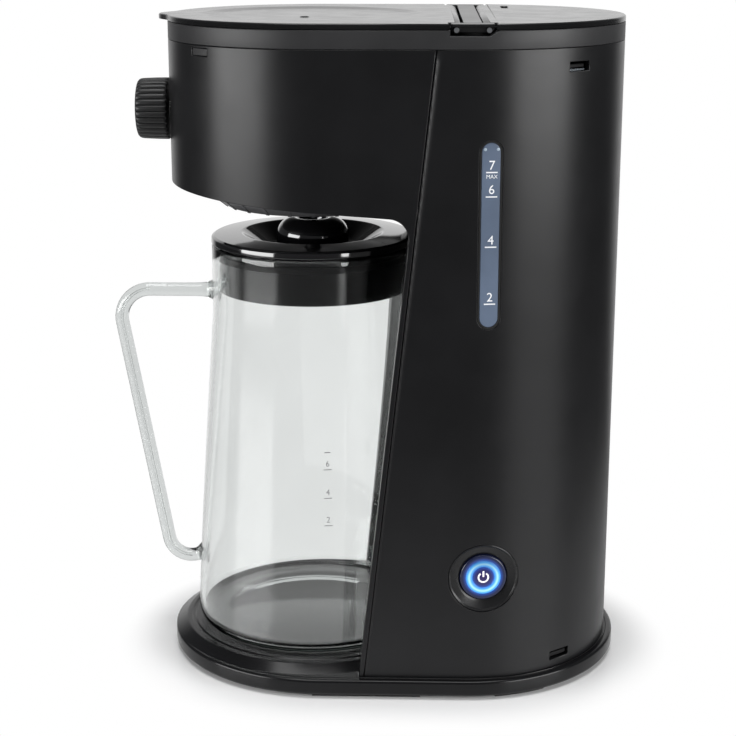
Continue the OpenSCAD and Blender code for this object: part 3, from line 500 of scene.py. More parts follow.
link("lid_collar", swept(list(zip(high, low)), collar_place, len(collar_places)), "machine", "top_collar",
     slot="black_plastic", paint=collar_abs)
tongues = [plate(oblong(s, z, 11.2 * MM, high, 2), [], sunk(deep), 2.4 * MM, 0.5 * MM)
           for (s, z), (deep, high) in zip(clips, [(2.6 * MM, 1.8 * MM)] * 2 + [(1.2 * MM, 2.2 * MM)] * 2)]
# The clip tongues and the bridge's lugs are coloured a darker, duller black than the shells: painted shade for the
# slots and grooves they sit in.
recess_shade_abs = finish("dull black painted as recess shade", (0.0035, 0.0035, 0.0038), 0.6, grain=1400, depth=0.01, level=0.2)
link("clip_tongues", joined(*tongues), "machine", "collar_clips", slot="black_plastic", paint=recess_shade_abs)
tabs = [plate(oblong(side * TAB_S, TAB_Z, 11.5 * MM, 3.4 * MM, 2), [], sunk(0.25 * MM), 2 * MM, 0.3 * MM)
        for side in (1, -1)]
link("collar_tabs", joined(*tabs), "machine", slot="black_plastic", paint=collar_abs)

# Hinge bridge: a fixed bar across the top between the two lids, with a rounded ear at each end.
# Short steel pins pass through the ears into the barrels of both lids. A ledge under the bar and
# a stop at each end of it close the grooves that the lids turn in.
bridge_abs = finish("smooth bridge ABS", (0.024, 0.024, 0.025), 0.30, grain=1700, depth=0.012)


def spun(line, start, axis, count, ribs=0, rib_depth=0.0, hard=30):
    """Turns a profile of (radius, distance) along an axis; a ribbed one has each point's share of the ribs third."""
    turn = Vector(axis).to_track_quat("Z", "Y")

    def place(p, step):
        a, r = 2 * pi * step / count, p[0]
        if ribs and p[2]:
            phase = abs((a * ribs / (2 * pi)) % 1 - 0.5) * 2
            r -= rib_depth * p[2] * (1 - sqrt(max(1 - phase ** 2, 0)))
        return tuple(Vector(start) + turn @ Vector((r * cos(a), r * sin(a), p[1])))
    return swept(line, place, count, hard=hard)


def rod(start, end, r, count=32, edge=0.25 * MM):
    """A turned rod between two points, with its ends' edges rounded."""
    axis = Vector(end) - Vector(start)
    line = round_profile([(0, 0, 0), (r, 0, edge), (r, axis.length, edge), (0, axis.length, 0)], 2)
    return spun([(max(x, 1e-6), y) for x, y in line], start, axis, count)


def flat(axis_u, axis_v, origin):
    """A flat place for a plate: u and v run along two axes, and depth runs against their normal."""
    u_axis, v_axis = Vector(axis_u), Vector(axis_v)
    out = u_axis.cross(v_axis)

    def place(u, v, depth):
        return tuple(Vector(origin) + u_axis * u + v_axis * v - out * depth)
    return place


def slab(drawing, top, thick, edge, holes=(), spots=(), steps=3):
    """A level plate with its top at a height, cut to a drawing seen from above."""
    return plate(drawing, holes, flat((1, 0, 0), (0, 1, 0), (0, 0, top)), thick, edge, spots, steps)


BRIDGE_Y, CAP_TOP, LUG_TOP = 51.15 * MM, 339.92 * MM, PIN_Z - 1 * MM
lug = [(0.0425, 0.33585), (0.0598, 0.33585), (0.0612, 0.3372), (0.0612, 0.3386), (0.0411, 0.3386), (0.0411, 0.3372)]
cap = [(0.0700, 0.0409), (0.0772, 0.0409), (0.0781, 0.0418), (0.0781, 0.0605), (0.0772, 0.0614), (0.0700, 0.0614)]
bridge_parts, lugs = [], []
for side, word in ((1, "near"), (-1, "far")):
    on_end = flat((0, side, 0), (0, 0, 1), (side * 0.0768, 0, 0))
    lugs += [plate([(y * side, z) for y, z in lug], [], on_end, 6.8 * MM, 0.4 * MM),
             slab(oblong(side * 71.25 * MM, 51 * MM, 2.5 * MM, 16 * MM), LUG_TOP, 5 * MM, 0.2 * MM)]
    bridge_parts.append(slab([(x * side, y) for x, y in cap], CAP_TOP, 1.35 * MM, 0.5 * MM))
    for y, end in ((FRONT_PIN + 0.4 * MM, "front"), (REAR_PIN - 0.1 * MM, "rear")):
        pin_end = rod((side * 0.0766, y, 0.3372), (side * 0.0776, y, 0.3372), 0.85 * MM, 24)
        link("pin_end_%s_%s" % (word, end), pin_end, "machine", slot="steel", paint=plated_steel)
bridge_parts += [slab(oblong(0, 51.25 * MM, 138 * MM, 8.9 * MM), CAP_TOP, 0.5 * MM, 0.2 * MM),
                 slab(oblong(0, BRIDGE_Y, 142 * MM, 7.3 * MM), PIN_Z + 2.5 * MM, 5.2 * MM, 0.2 * MM)]
lugs += [slab(oblong(0, BRIDGE_Y, 144.98 * MM, 7.3 * MM), LUG_TOP, 5 * MM, 0.3 * MM),
         slab(oblong(0, BRIDGE_Y, 138 * MM, 11.3 * MM), PIN_Z - 3.2 * MM, 1.2 * MM, 0.2 * MM)]
link("lid_bridge", joined(*bridge_parts), "machine", "hinge_bridge", slot="black_plastic", paint=bridge_abs)
# The lugs carry the same darker black, as painted shade under the bar.
link("bridge_lugs", joined(*lugs), "machine", slot="black_plastic", paint=recess_shade_abs)
dress(plated_steel, "hinge_pins")

# Lids: two flat moulded plates with a fine matt texture and rounded edges. Each has a barrel
# along its hinge and a skirt inside the collar; the front one has a thumb lip, a dish and a vent,
# and the rear one a slot for a finger.
lid_abs = finish("matt lid ABS", (0.024, 0.024, 0.025), 0.20, grain=1500, depth=0.010, level=0.34)
BARREL_X, LID_T, LID_EDGE = 69.7 * MM, LID_TOP - LID_LOW, 0.9 * MM
NOSE_HALF, NOSE_OUT = 18 * MM, 5 * MM
DISH_R, DISH_SLOPE, DISH_DEEP = 50 * MM, 6 * MM, 0.8 * MM


def lid_front_y(x):
    """The front lid's edge, which swells to a lip for the thumb."""
    swell = NOSE_OUT * cos(pi / 2 * x / NOSE_HALF) ** 2 if abs(x) < NOSE_HALF else 0
    return FRONT_Y - sqrt(BODY_R ** 2 - x * x) - swell


nose_x = (2, 4.5, 7, 9, 11, 13, 15, 17)
nose = [(x * MM, lid_front_y(x * MM)) for x in [-x for x in nose_x[::-1]] + [0, *nose_x]]
NOSE_TURN = degrees(asin(20 * MM / BODY_R))
FRONT_EDGE_Y, REAR_EDGE_Y = 40.2 * MM, 62.2 * MM
front_lid_outline = nose + arc(0, FRONT_Y, BODY_R, NOSE_TURN - 90, 0, 3)
front_lid_outline += [(BODY_R, FRONT_EDGE_Y), (BARREL_X, FRONT_EDGE_Y), (BARREL_X, FRONT_PIN), (-BARREL_X, FRONT_PIN),
                      (-BARREL_X, FRONT_EDGE_Y), (-BODY_R, FRONT_EDGE_Y)]
front_lid_outline += arc(0, FRONT_Y, BODY_R, 180, 270 - NOSE_TURN, 3)
vent = arc(20 * MM, JUG_Y - 2 * MM, 1.5 * MM, 0, 330, 30)


def dished(x, y, depth):
    """The front lid's top, with a shallow round dish in it."""
    way = (hypot(x, y - JUG_Y) - DISH_R) / DISH_SLOPE
    sink = DISH_DEEP * (1 - min(max(way, 0), 1))
    return x, y, LID_TOP - sink * (0.5 if 0 < depth else 1) - depth


dish_spots = [(0, JUG_Y)] + [(r * MM * cos(a), JUG_Y + r * MM * sin(a))
                             for r in (10, 20, 30, 40, 47, 49.5, 50.3, 55.7, 56.5)
                             for a in steps_between(0, 2 * pi, radians(4))[:-1]]
skirt_line = [(0.0695, 0.3313), (0.0720, 0.3313), (0.0720, 0.3374), (0.0695, 0.3374)]


def lid_skirt(places):
    """A skirt under a lid, which keeps to its own oval in the directions of these places."""
    def place(p, step):
        x, y = places[step]
        if FRONT_Y < y < REAR_Y:
            return (p[0] if x > 0 else -p[0]), y, p[1]
        middle = REAR_Y if y > 0 else FRONT_Y
        way = Vector((x, y - middle)).normalized()
        return way.x * p[0], middle + way.y * p[0], p[1]
    return swept(skirt_line, place, len(places), closed=False)


def barrel(y):
    return rod((-BARREL_X, y, PIN_Z), (BARREL_X, y, PIN_Z), 2.9 * MM)


front_run = [(-1, 0.0355)] + [(x, y - 1e-6) for x, y in arc(0, FRONT_Y, BODY_R, 180, 360, 4)] + [(1, 0.0355)]
front_plate = plate(front_lid_outline, [vent], dished, LID_T, LID_EDGE, dish_spots, 4)
link("brew_lid", joined(front_plate, lid_skirt(front_run), barrel(FRONT_PIN)), "front_lid_body", "front_lid",
     slot="lid_plastic", paint=lid_abs)
rear_lid_outline = [(77.8 * MM, REAR_EDGE_Y), (78.1 * MM, REAR_EDGE_Y + 0.3 * MM)]
rear_lid_outline += arc(0, REAR_Y, BODY_R, 8.9, 171.1, 3)
rear_lid_outline += [(-78.1 * MM, REAR_EDGE_Y + 0.3 * MM), (-77.8 * MM, REAR_EDGE_Y), (-BARREL_X, REAR_EDGE_Y),
                     (-BARREL_X, REAR_PIN), (BARREL_X, REAR_PIN), (BARREL_X, REAR_EDGE_Y)]
finger_slot = arc(-0.0430, 0.0716, 1.7 * MM, -90, 90, 30) + arc(-0.0590, 0.0716, 1.7 * MM, 90, 270, 30)
rear_spots = lattice(steps_between(-70 * MM, 70 * MM, 14 * MM), steps_between(80 * MM, 120 * MM, 14 * MM))
rear_plate = slab(rear_lid_outline, LID_TOP, LID_T, LID_EDGE, [finger_slot], rear_spots, 4)
link("tank_lid", joined(rear_plate, lid_skirt(arc(0, REAR_Y, 72 * MM, 13, 165, 4)), barrel(REAR_PIN)),
     "rear_lid_body", "rear_lid", slot="lid_plastic", paint=lid_abs)
dress(under_plastic, "shower_plate")

# Strength knob: a push-on cap in matt black plastic with fine rounded ribs for grip and a painted
# pointer line. It turns the brew strength on a steel shaft through a white bush in the head's wall.
knob_plastic = finish("matt knob plastic", (0.011, 0.011, 0.0115), 0.42, grain=1300, depth=0.012, level=0.4)
white_acetal = finish("white acetal", (0.78, 0.78, 0.75), 0.35, shade=0.03, grain=800, depth=0.005)
KNOB_Y, KNOB_LEN, RIBS = -102.1 * MM, 16.6 * MM, 30
knob_line = [(0.0002, 0, 0), (15.2, 0, 0), (15.8, 0.5, 1), (15.8, 2, 1), (15.75, 6, 1), (15.6, 10, 1),
             (15.45, 13.2, 1), (15.2, 14.6, 1), (14.8, 15.4, 0.8), (14.2, 15.95, 0.35), (13.5, 16.2, 0.05),
             (12.8, 16.25, 0), (12.2, 16.1, 0), (11.6, 16.15, 0), (8, 16.5, 0), (4, 16.58, 0), (0.0002, 16.6, 0)]
knob_cap = spun([(r * MM, far * MM, share) for r, far, share in knob_line], (0, KNOB_Y, KNOB_Z), (0, -1, 0),
                RIBS * 12, RIBS, 0.95 * MM, 50)
link("strength_dial", knob_cap, "knob_body", "strength_knob", slot="knob_plastic", paint=knob_plastic)
white_print = finish("white print", (0.82, 0.83, 0.85), 0.45, shade=0.03, grain=3000, depth=0.004)
pointer = plate(oblong(0, 7.15 * MM, 1.2 * MM, 7.3 * MM), [],
                flat((1, 0, 0), (0, 0, 1), (0, KNOB_Y - KNOB_LEN - 0.05 * MM, KNOB_Z)), 0.5 * MM, 0.1 * MM)
link("dial_pointer", pointer, "knob_body", slot="white_plastic", paint=white_print)
dress(plated_steel, "knob_shaft")
dress(white_acetal, "knob_bushing", "strength_valve")

# Power button: a dark translucent cap in a dished bezel, with a lit blue ring and a white power
# sign. A stem behind it presses the switch on a small green board, and the switch pushes it back.
OUT = Vector((cos(SIDE_TURN), sin(SIDE_TURN), 0))
ACROSS = Vector((-sin(SIDE_TURN), cos(SIDE_TURN), 0))
BUTTON_FACE, GLOW_R = 77.4 * MM, 12
button_spot = Vector((0, REAR_Y, BUTTON_Z))


def glowing(name, stops, strength, rough, base, top_share=1.0):
    """A lit plastic: its colour runs outwards from the button's middle, and it can be dimmer near the top."""
    paint = finish(name, base, rough, shade=0.1, grain=1500, depth=0.003)
    tree, middle = paint.node_tree, button_spot + OUT * BUTTON_FACE
    where = add_node(tree, "TexCoord").outputs["Object"]
    off = add_node(tree, "VectorMath", {0: where, 1: middle}, operation="SUBTRACT")
    upright = add_node(tree, "VectorMath", {0: off, 1: (0, 1, 1)}, operation="MULTIPLY")
    size = add_node(tree, "VectorMath", {0: upright}, operation="LENGTH").outputs["Value"]
    ramp = add_node(tree, "ValToRGB", {"Fac": add_node(tree, "MapRange", {"Value": size, "From Max": GLOW_R * MM})})
    for at, _ in stops[1:-1]:
        ramp.color_ramp.elements.new(at / GLOW_R)
    for element, (at, colour) in zip(ramp.color_ramp.elements, stops):
        element.position, element.color = at / GLOW_R, (*colour, 1)
    height = add_node(tree, "SeparateXYZ", {0: off}).outputs["Z"]
    fade = add_node(tree, "MapRange", {"Value": height, "From Min": 1 * MM, "From Max": 8 * MM, "To Min": 1,
                                       "To Max": top_share})
    dim = add_node(tree, "VectorMath", {0: ramp, "Scale": fade}, operation="SCALE")
    fill(tree.nodes["Principled BSDF"], {"Emission Color": dim, "Emission Strength": strength})
    return paint


def on_button(depth):
    return button_spot + OUT * (BUTTON_FACE - depth)


cap_plastic = glowing("dark blue button plastic", ((0, (0.03, 0.01, 0.10)), (4, (0.02, 0.02, 0.14)),
                                                   (5.4, (0.02, 0.08, 0.42)), (9.0, (0.02, 0.08, 0.40)),
                                                   (10.3, (0.005, 0.012, 0.07)), (11.9, (0.001, 0.002, 0.01))),
                      0.9, 0.25, (0.006, 0.007, 0.015))
lit_blue = glowing("lit blue diffuser", ((0, (0, 0, 0)), (5.3, (0.015, 0.06, 0.42)), (6.3, (0.08, 0.42, 0.95)),
                                         (7.2, (0.52, 0.95, 1.0)), (8.1, (0.08, 0.45, 0.98)),
                                         (9.1, (0.01, 0.07, 0.42))), 1.0, 0.3, (0.02, 0.08, 0.2), 0.42)
CAP_LEN = 8
cap_line = round_profile([(0.0002, 0, 0), (11.9, 0, 0), (11.9, CAP_LEN, 0.9), (9.1, CAP_LEN - 0.12, 0.15),
                          (9.05, CAP_LEN - 0.9, 0), (5.3, CAP_LEN - 0.9, 0), (5.25, CAP_LEN - 0.12, 0.15),
                          (0.0002, CAP_LEN, 0)], unit=MM)
link("button_cap", spun(cap_line, on_button(CAP_LEN * MM), OUT, 120), "button_body", "power_button",
     slot="button_plastic", paint=cap_plastic)
ring_line = round_profile([(5.35, 0, 0), (9.0, 0, 0), (8.9, 0.95, 0.5), (7.2, 1.15, 2), (5.45, 0.95, 0.5)], unit=MM)
link("button_light", spun(ring_line, on_button(0.95 * MM), OUT, 120), "button_body", "light_ring",
     slot="light_ring", paint=lit_blue)
sign_place = flat(ACROSS, (0, 0, 1), on_button(-0.08 * MM))
sign = arc(0, 0, 2.9 * MM, 125, 415, 10) + arc(0, 0, 2.05 * MM, 415, 125, 10)
bar = oblong(0, 1.85 * MM, 0.9 * MM, 3.1 * MM)
sign_parts = [plate(loop, [], sign_place, 0.2 * MM, 0.05 * MM) for loop in (sign, bar)]
lit_white = glowing("lit white sign", ((0, (0.95, 0.85, 0.92)), (2, (0.95, 0.86, 0.92)), (3, (0.8, 0.8, 0.8)),
                                       (4, (0.7, 0.7, 0.66))), 0.6, 0.4, (0.6, 0.6, 0.6))
link("power_sign", joined(*sign_parts), "button_body", slot="white_plastic", paint=lit_white)
bezel_plastic = finish("satin bezel ABS", (0.0065, 0.0065, 0.007), 0.28, grain=1500, depth=0.008, level=0.35)
bezel_line = round_profile([(12.2, 0, 0), (12.2, 6.3, 0.3), (13.4, 6.8, 0.3), (16.6, 8.1, 0.5), (17.4, 8.85, 0.25),
                            (17.95, 8.65, 0.2), (17.95, 0, 0)], unit=MM)
bezel_ring = spun(bezel_line, on_button(7.6 * MM), OUT, 144)
for point in bezel_ring.vertices:
    way = Vector((point.co.x, point.co.y - REAR_Y, 0))
    if way.length > 70 * MM and (point.co - button_spot).cross(OUT).length > 14 * MM:
        side = (point.co - button_spot).dot(ACROSS)
        point.co -= OUT * (BODY_R - sqrt(BODY_R ** 2 - side ** 2)) * 0.9
post_spots = [button_spot + ACROSS * x * MM + Vector((0, 0, z * MM)) for x in (-10, 10) for z in (-12.6, 12.6)]
posts = [rod(spot + OUT * 54.6 * MM, spot + OUT * 71.4 * MM, 1.6 * MM, 20) for spot in post_spots]
link("button_surround", joined(bezel_ring, *posts), "machine", "button_bezel", slot="black_plastic",
     paint=bezel_plastic)
solder_mask = finish("green solder mask", (0.02, 0.16, 0.07), 0.3, grain=700, depth=0.006)
dress(white_acetal, "button_stem")
dress(under_plastic, "push_switch")
dress(solder_mask, "circuit_board")

# Water window: a tinted clear lens with printed cup marks, pressed into a thin rubber gasket in
# the rear shell's slot, so that the level in the tank can be read from the side.
lens_plastic = finish("tinted window plastic", (0.11, 0.143, 0.205), 0.22, shade=0.12, grain=400, depth=0.002)
lens = window_slot(-1.1 * MM)
lens_spots = lattice(steps_between(SIDE_S - 4.5 * MM, SIDE_S + 4.5 * MM, 1.5 * MM),
                     steps_between(198 * MM, 282 * MM, 4 * MM))
link("water_window", plate(lens, [], sunk(0.75 * MM), 1.9 * MM, 0.5 * MM, lens_spots), "machine", "tank_window",
     slot="window_plastic", paint=lens_plastic)
link("window_seal", plate(window_slot(-0.05 * MM), [lens], sunk(0.45 * MM), 2.0 * MM, 0.25 * MM), "machine",
     "window_gasket", slot="rubber", paint=black_rubber)


def lettering(words, size, place, u, v, thick=0.08 * MM):
    """Printed words laid on a surface, middle at (u, v)."""
    curve = bpy.data.curves.new("words", "FONT")
    curve.body, curve.size, curve.extrude = words, size, thick / 2
    curve.align_x, curve.align_y, curve.resolution_u = "CENTER", "CENTER", 4
    holder = shown("words", curve)
    bpy.context.view_layer.update()
    mesh = bpy.data.meshes.new_from_object(holder.evaluated_get(bpy.context.evaluated_depsgraph_get()))
    bpy.data.objects.remove(holder)
    bpy.data.curves.remove(curve)
    for point in mesh.vertices:
        point.co = place(u + point.co.x, v + point.co.y, -point.co.z)
    return crisp(mesh, 40)


def dash(place, u, v, width, height, thick=0.08 * MM):
    """A printed bar, with points enough along it to follow a curved wall."""
    parts = max(1, round(width / (0.8 * MM)))
    return plate(oblong(u, v, width, height, parts), [], lambda x, y, depth: place(x, y, depth - thick / 2), thick,
                 0.01 * MM)


marks, on_lens, mark_s = [], sunk(0.71 * MM), SIDE_S + 0.4 * MM
for words, height, line_z in (("7", 273.9, 270.7), ("6", 262.3, 259.0), ("4", 237.9, 234.7), ("2", 209.9, 206.7)):
    marks += [lettering(words, 6.2 * MM, on_lens, mark_s, height * MM),
              dash(on_lens, mark_s, line_z * MM, 5.6 * MM, 0.6 * MM)]
marks.append(lettering("MAX", 2.6 * MM, on_lens, mark_s, 268.6 * MM))
stake_plastic = finish("pale stake plastic", (0.34, 0.42, 0.50), 0.4, shade=0.05, grain=2000, depth=0.003)
stakes = [rod(wrap(SIDE_S + side * MM, 281.6 * MM, 1 * MM), wrap(SIDE_S + side * MM, 281.6 * MM, 0.6 * MM),
              0.75 * MM, 16, 0.1 * MM) for side in (-2.9, 3.3)]
link("window_stakes", joined(*stakes), "machine", slot="white_plastic", paint=stake_plastic)
link("window_marks", joined(*marks), "machine", slot="white_plastic", paint=white_print)

# Jug: blown borosilicate glass with a thick rounded foot, a gentle taper and a straight neck.
# Its wall is 2.6 mm thick and its rim is fire-polished; cup marks are printed on it.
def glass(name, colour, depth, density):
    """Clear glass, a little grey through its thickness."""
    paint = finish(name, colour, 0.012, shade=0.008, grain=40, depth=depth, spread=0.008,
                   Transmission_Weight=1.0, IOR=1.47)
    tint = add_node(paint.node_tree, "VolumeAbsorption", {"Color": (0.42, 0.46, 0.45, 1), "Density": density})
    fill(paint.node_tree.nodes["Material Output"], {"Volume": tint})
    return paint


clear_glass = glass("borosilicate glass", (0.957, 0.966, 0.962), 0.02, 36)
rod_glass = glass("drawn glass rod", (0.955, 0.962, 0.96), 0.002, 90)
JUG_R, NECK_R, GLASS_T = 64.2 * MM, 53 * MM, 2.6 * MM
JUG_LOW, NECK_Z, RIM_Z = 14.6 * MM, 187 * MM, 222 * MM


def glass_r(z):
    return JUG_R - (JUG_R - NECK_R) * max(0, (z - JUG_LOW) / (NECK_Z - JUG_LOW)) ** 1.2


def glass_wall(low, inset, bend):
    """One side of the glass in profile, from the middle of the floor to the rim's round top."""
    foot = arc(glass_r(low + bend) - inset - bend, low + bend, bend, -90, 0, 7.5)
    heights = steps_between(low + bend, RIM_Z - GLASS_T / 2, 7 * MM)[1:]
    wall = [(min(glass_r(z) if z < NECK_Z else NECK_R, JUG_R) - inset, z) for z in heights]
    return [(0.0002, low)] + foot + wall


outer = glass_wall(JUG_LOW, 0, 7 * MM)
outer[:1] = [(0.0002, JUG_LOW + 1.1 * MM), (0.044, JUG_LOW + 0.9 * MM), (0.047, JUG_LOW + 0.1 * MM), (0.050, JUG_LOW)]
inner = glass_wall(JUG_LOW + 3.6 * MM, GLASS_T, 4.5 * MM)
rim_top = arc(NECK_R - GLASS_T / 2, RIM_Z - GLASS_T / 2, GLASS_T / 2, 0, 180, 20)[1:-1]
jug_line = outer + rim_top + inner[::-1]
link("glass_jug", turned(jug_line, count=180, hard=60), "jug_body", "jug_glass", slot="jug_glass", paint=clear_glass)

# Handle: a thick rod of the same glass with a fine air bore, bent to a tall loop and fused to the
# neck and the foot while hot, so that it spreads where it meets the wall.
ROD_R = 3.6 * MM
path = [(y, 196.0) for y in (-51.6, -53.2, -54.6, -56.4, -59, -63, -70, -78)] + arc(-86.6, 180.5, 15.5, 90, 190, 6)
grip_top, grip_low = Vector((-101.86, 177.81)), Vector((-80.37, 55.92))
path += [tuple(grip_top.lerp(grip_low, k / 14)) for k in range(1, 14)] + arc(-68.55, 58.0, 12, 190, 285, 6)
path += [(-64.6, 46.62), (-63.6, 46.9), (-62.7, 47.14), (-61.4, 47.5)]
widths = [1.75, 1.5, 1.28, 1.12, 1.03] + [1] * (len(path) - 9) + [1.06, 1.18, 1.36, 1.6]


def drawn(path, radii):
    """A glass rod along a path in mm, with its radius at each point."""
    def place(a, step):
        way = (Vector(path[min(step + 1, len(path) - 1)]) - Vector(path[max(step - 1, 0)])).normalized()
        (y, z), r = path[step], radii[step]
        return r * cos(a), JUG_Y + y * MM - way.y * r * sin(a), z * MM + way.x * r * sin(a)
    return swept([2 * pi * k / 28 for k in range(28)], place, len(path), closed=False, hard=50)


bore = drawn(path[8:-6], [0.5 * MM] * (len(path) - 14))
bore.flip_normals()
link("glass_handle", joined(drawn(path, [ROD_R * w for w in widths]), bore), "jug_body", "jug_handle",
     slot="jug_glass", paint=rod_glass)

grey_print = finish("grey glass print", (0.27, 0.27, 0.28), 0.5, shade=0.1, grain=3000, depth=0.004)


def on_glass(turn):
    """A place on the glass: u runs round the jug from a given direction, v is the height."""
    def place(u, v, depth):
        r = glass_r(v) + 0.02 * MM - depth
        a = turn + u / JUG_R
        return r * cos(a), JUG_Y + r * sin(a), v
    return place


jug_marks, on_front, ink = [], on_glass(radians(10)), 0.04 * MM
for words, height in (("6", 118), ("4", 103), ("2", 88.5)):
    jug_marks += [lettering(words, 4.4 * MM, on_front, 0, height * MM, ink),
                  dash(on_front, 0, (height - 3) * MM, 4.6 * MM, 0.4 * MM, ink)]
jug_marks.append(dash(on_front, 0, 124 * MM, 3.4 * MM, 0.5 * MM, ink))
link("jug_marks", joined(*jug_marks), "jug_body", slot="rubber", paint=grey_print)

# Jug lid: a high-gloss black moulding that drops into the neck on a soft seal. Its dished top
# runs down to a raised pouring collar, which opens the drip valve over it.
gloss_black = finish("high-gloss black plastic", (0.004, 0.004, 0.0045), 0.09, grain=60, depth=0.004, spread=0.02,
                     level=0.9, Coat_Weight=0.3, Coat_Roughness=0.06)
lid_line = ([(49.2, 198.3, 0.4), (49.2, 222.3, 0.3), (52.4, 222.3, 0.3), (53.2, 223.2, 0.4), (53.0, 225.9, 0.9),
             (51.4, 226.7, 0.8), (37.0, 227.9, 2.5), (25.0, 218.4, 6.0), (18.9, 219.0, 2.5)]
            + [(x, z, 0) for x, z in arc(9.6, 226, 9.3, -8, 94, 6)]
            + [(7.4, 234.9, 0), (7.0, 234.0, 0), (7.0, 216.5, 0.3), (25.5, 216.0, 2.0), (37.5, 224.8, 1.5),
               (46.0, 224.8, 1.5), (47.0, 220.1, 0.8), (47.0, 198.3, 0.4)])
link("jug_cover", turned(round_profile(lid_line, 6, MM), count=180, hard=55), "jug_lid_body", "jug_lid",
     slot="gloss_black", paint=gloss_black)
dress(black_rubber, "lid_seal")

# Brew basket: a dark grey moulded cup hanging in the head, whose ribbed bowl shows below it, with a
# fine nylon filter inside and a sprung drip valve in its floor.
cup_plastic = finish("grey cup plastic", (0.075, 0.075, 0.078), 0.38, grain=1200, depth=0.012)
cup_line = [(5, 242.3, 0.3), (36, 242.3, 6), (45.0, 243.1, 4), (50.4, 247.2, 4), (52, 253, 4), (52, 262.5, 0.4),
            (59, 262.5, 0.8), (59, 317, 0.3), (62.8, 317, 0.4), (62.8, 319, 0.4), (57.2, 319, 0.4),
            (57.2, 264.3, 0.8), (50.2, 264.3, 0.4), (50.2, 254.8, 3), (48.6, 249.8, 3), (43.6, 245.2, 3),
            (36, 244.2, 5), (12.2, 244.2, 0.5), (11.8, 248.2, 0.4), (5, 248.2, 0.3)]
cage_line = [(2.4, 259.9, 0.3), (11.5, 259.9, 0.4), (11.5, 261.9, 0.4), (2.4, 261.9, 0.3)]
cup, cage = turned(round_profile(cup_line, unit=MM)), turned(round_profile(cage_line, unit=MM), count=48)
strut_spots = [(10 * MM * cos(a), JUG_Y + 10 * MM * sin(a)) for a in (0, 2 * pi / 3, 4 * pi / 3)]
struts = [rod((*spot, 248 * MM), (*spot, 260.4 * MM), 1.4 * MM, 16) for spot in strut_spots]
rib_path = [(45.2, 243.3), (47.8, 245.3), (50.4, 247.3), (51.4, 250.1), (52.0, 253.4), (52.1, 261.8)]
RIB_HALF, RIB_OUT, RIB_IN = 0.9 * MM, 0.45, -0.55


def rib(angle):
    """One upright rib, standing a little out of the bowl at this angle."""
    def place(corner, step):
        k = min(step, len(rib_path) - 2)
        run = Vector(rib_path[k + 1]) - Vector(rib_path[k])
        r, z = (Vector(rib_path[step]) + Vector((run.y, -run.x)).normalized() * corner[1]) * MM
        u = corner[0]
        return r * cos(angle) - u * sin(angle), JUG_Y + r * sin(angle) + u * cos(angle), z
    corners = [(-RIB_HALF, RIB_OUT), (RIB_HALF, RIB_OUT), (RIB_HALF, RIB_IN), (-RIB_HALF, RIB_IN)]
    return swept(corners, place, len(rib_path), closed=False, hard=35)


ribs = [rib(radians(15 * k + 4)) for k in range(24)]
link("ribbed_basket", joined(cup, cage, *struts, *ribs), "machine", "brew_basket", slot="inner_plastic",
     paint=cup_plastic)
nylon = finish("nylon mesh", (0.62, 0.58, 0.48), 0.6, shade=0.1, grain=1500, depth=0.01)
red_silicone = finish("red silicone", (0.35, 0.05, 0.03), 0.5, grain=900, depth=0.01)
dress(nylon, "mesh_filter")
dark_acetal = finish("dark acetal", (0.02, 0.02, 0.021), 0.35, grain=900, depth=0.006)
dress(dark_acetal, "drip_valve")
dress(red_silicone, "valve_seal")
SPRING_LOW, SPRING_TOP, COIL_R, WIRE_R, TURNS = 249.8 * MM, 259.8 * MM, 4.2 * MM, 0.45 * MM, 6
TURN_STEPS = 30


def coil_place(p, step):
    """The spring's wire, whose first and last half turns lie flat."""
    turn, r = 2 * pi * step / TURN_STEPS, COIL_R + p[0]
    up = min(max((step - TURN_STEPS / 2) / (TURN_STEPS * (TURNS - 1)), 0), 1)
    z = SPRING_LOW + WIRE_R + up * (SPRING_TOP - SPRING_LOW - 2 * WIRE_R) + p[1]
    return r * cos(turn), JUG_Y + r * sin(turn), z


wire = [(WIRE_R * cos(2 * pi * k / 8), WIRE_R * sin(2 * pi * k / 8)) for k in range(8)]
coil = link("valve_coil", swept(wire, coil_place, TURN_STEPS * TURNS, closed=False), "machine", "valve_spring",
            slot="steel", paint=plated_steel)
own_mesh(coil)

# Inside the column: the smoky water tank, and below it the check valve, silicone hoses, cast
# ring heater with its thermostat and fuse, and the cord's bush in the rear wall.
smoky = finish("smoky tank plastic", (0.42, 0.46, 0.50), 0.18, shade=0.05, grain=300, depth=0.01,
               Transmission_Weight=0.7, IOR=1.49)
silicone = finish("clear silicone hose", (0.66, 0.66, 0.62), 0.4, shade=0.05, grain=600, depth=0.01,
                  Subsurface_Weight=0.2)
cast_metal = finish("cast aluminium", (0.62, 0.63, 0.65), 0.42, shade=0.08, grain=1200, depth=0.03, metal=1.0)
ceramic = finish("white ceramic", (0.75, 0.72, 0.62), 0.4, shade=0.04, grain=900, depth=0.01)
dress(smoky, "water_tank")
dress(white_acetal, "check_valve")
dress(silicone, "inlet_hose", "riser_hose")
dress(plated_steel, "tank_strainer", "hose_clamps", "heater_bracket", "heater_screws", "thermostat")
dress(under_plastic, "water_spout")
dress(cast_metal, "heater_body", "heater_tube")
dress(ceramic, "thermal_fuse")
gland_line = round_profile([(3.4, -10.5, 0.5), (6.0, -10.5, 0.3), (6.0, -2.2, 0.2), (7.9, -2.2, 0.3),
                            (7.9, -0.35, 0.7), (4.6, -0.35, 0.9), (3.4, -1.6, 0.6)], unit=MM)
link("cord_inlet", spun(gland_line, (0, REAR_Y + BODY_R, CORD_Z), (0, 1, 0), 72), "machine", "cord_gland",
     slot="rubber", paint=black_rubber)

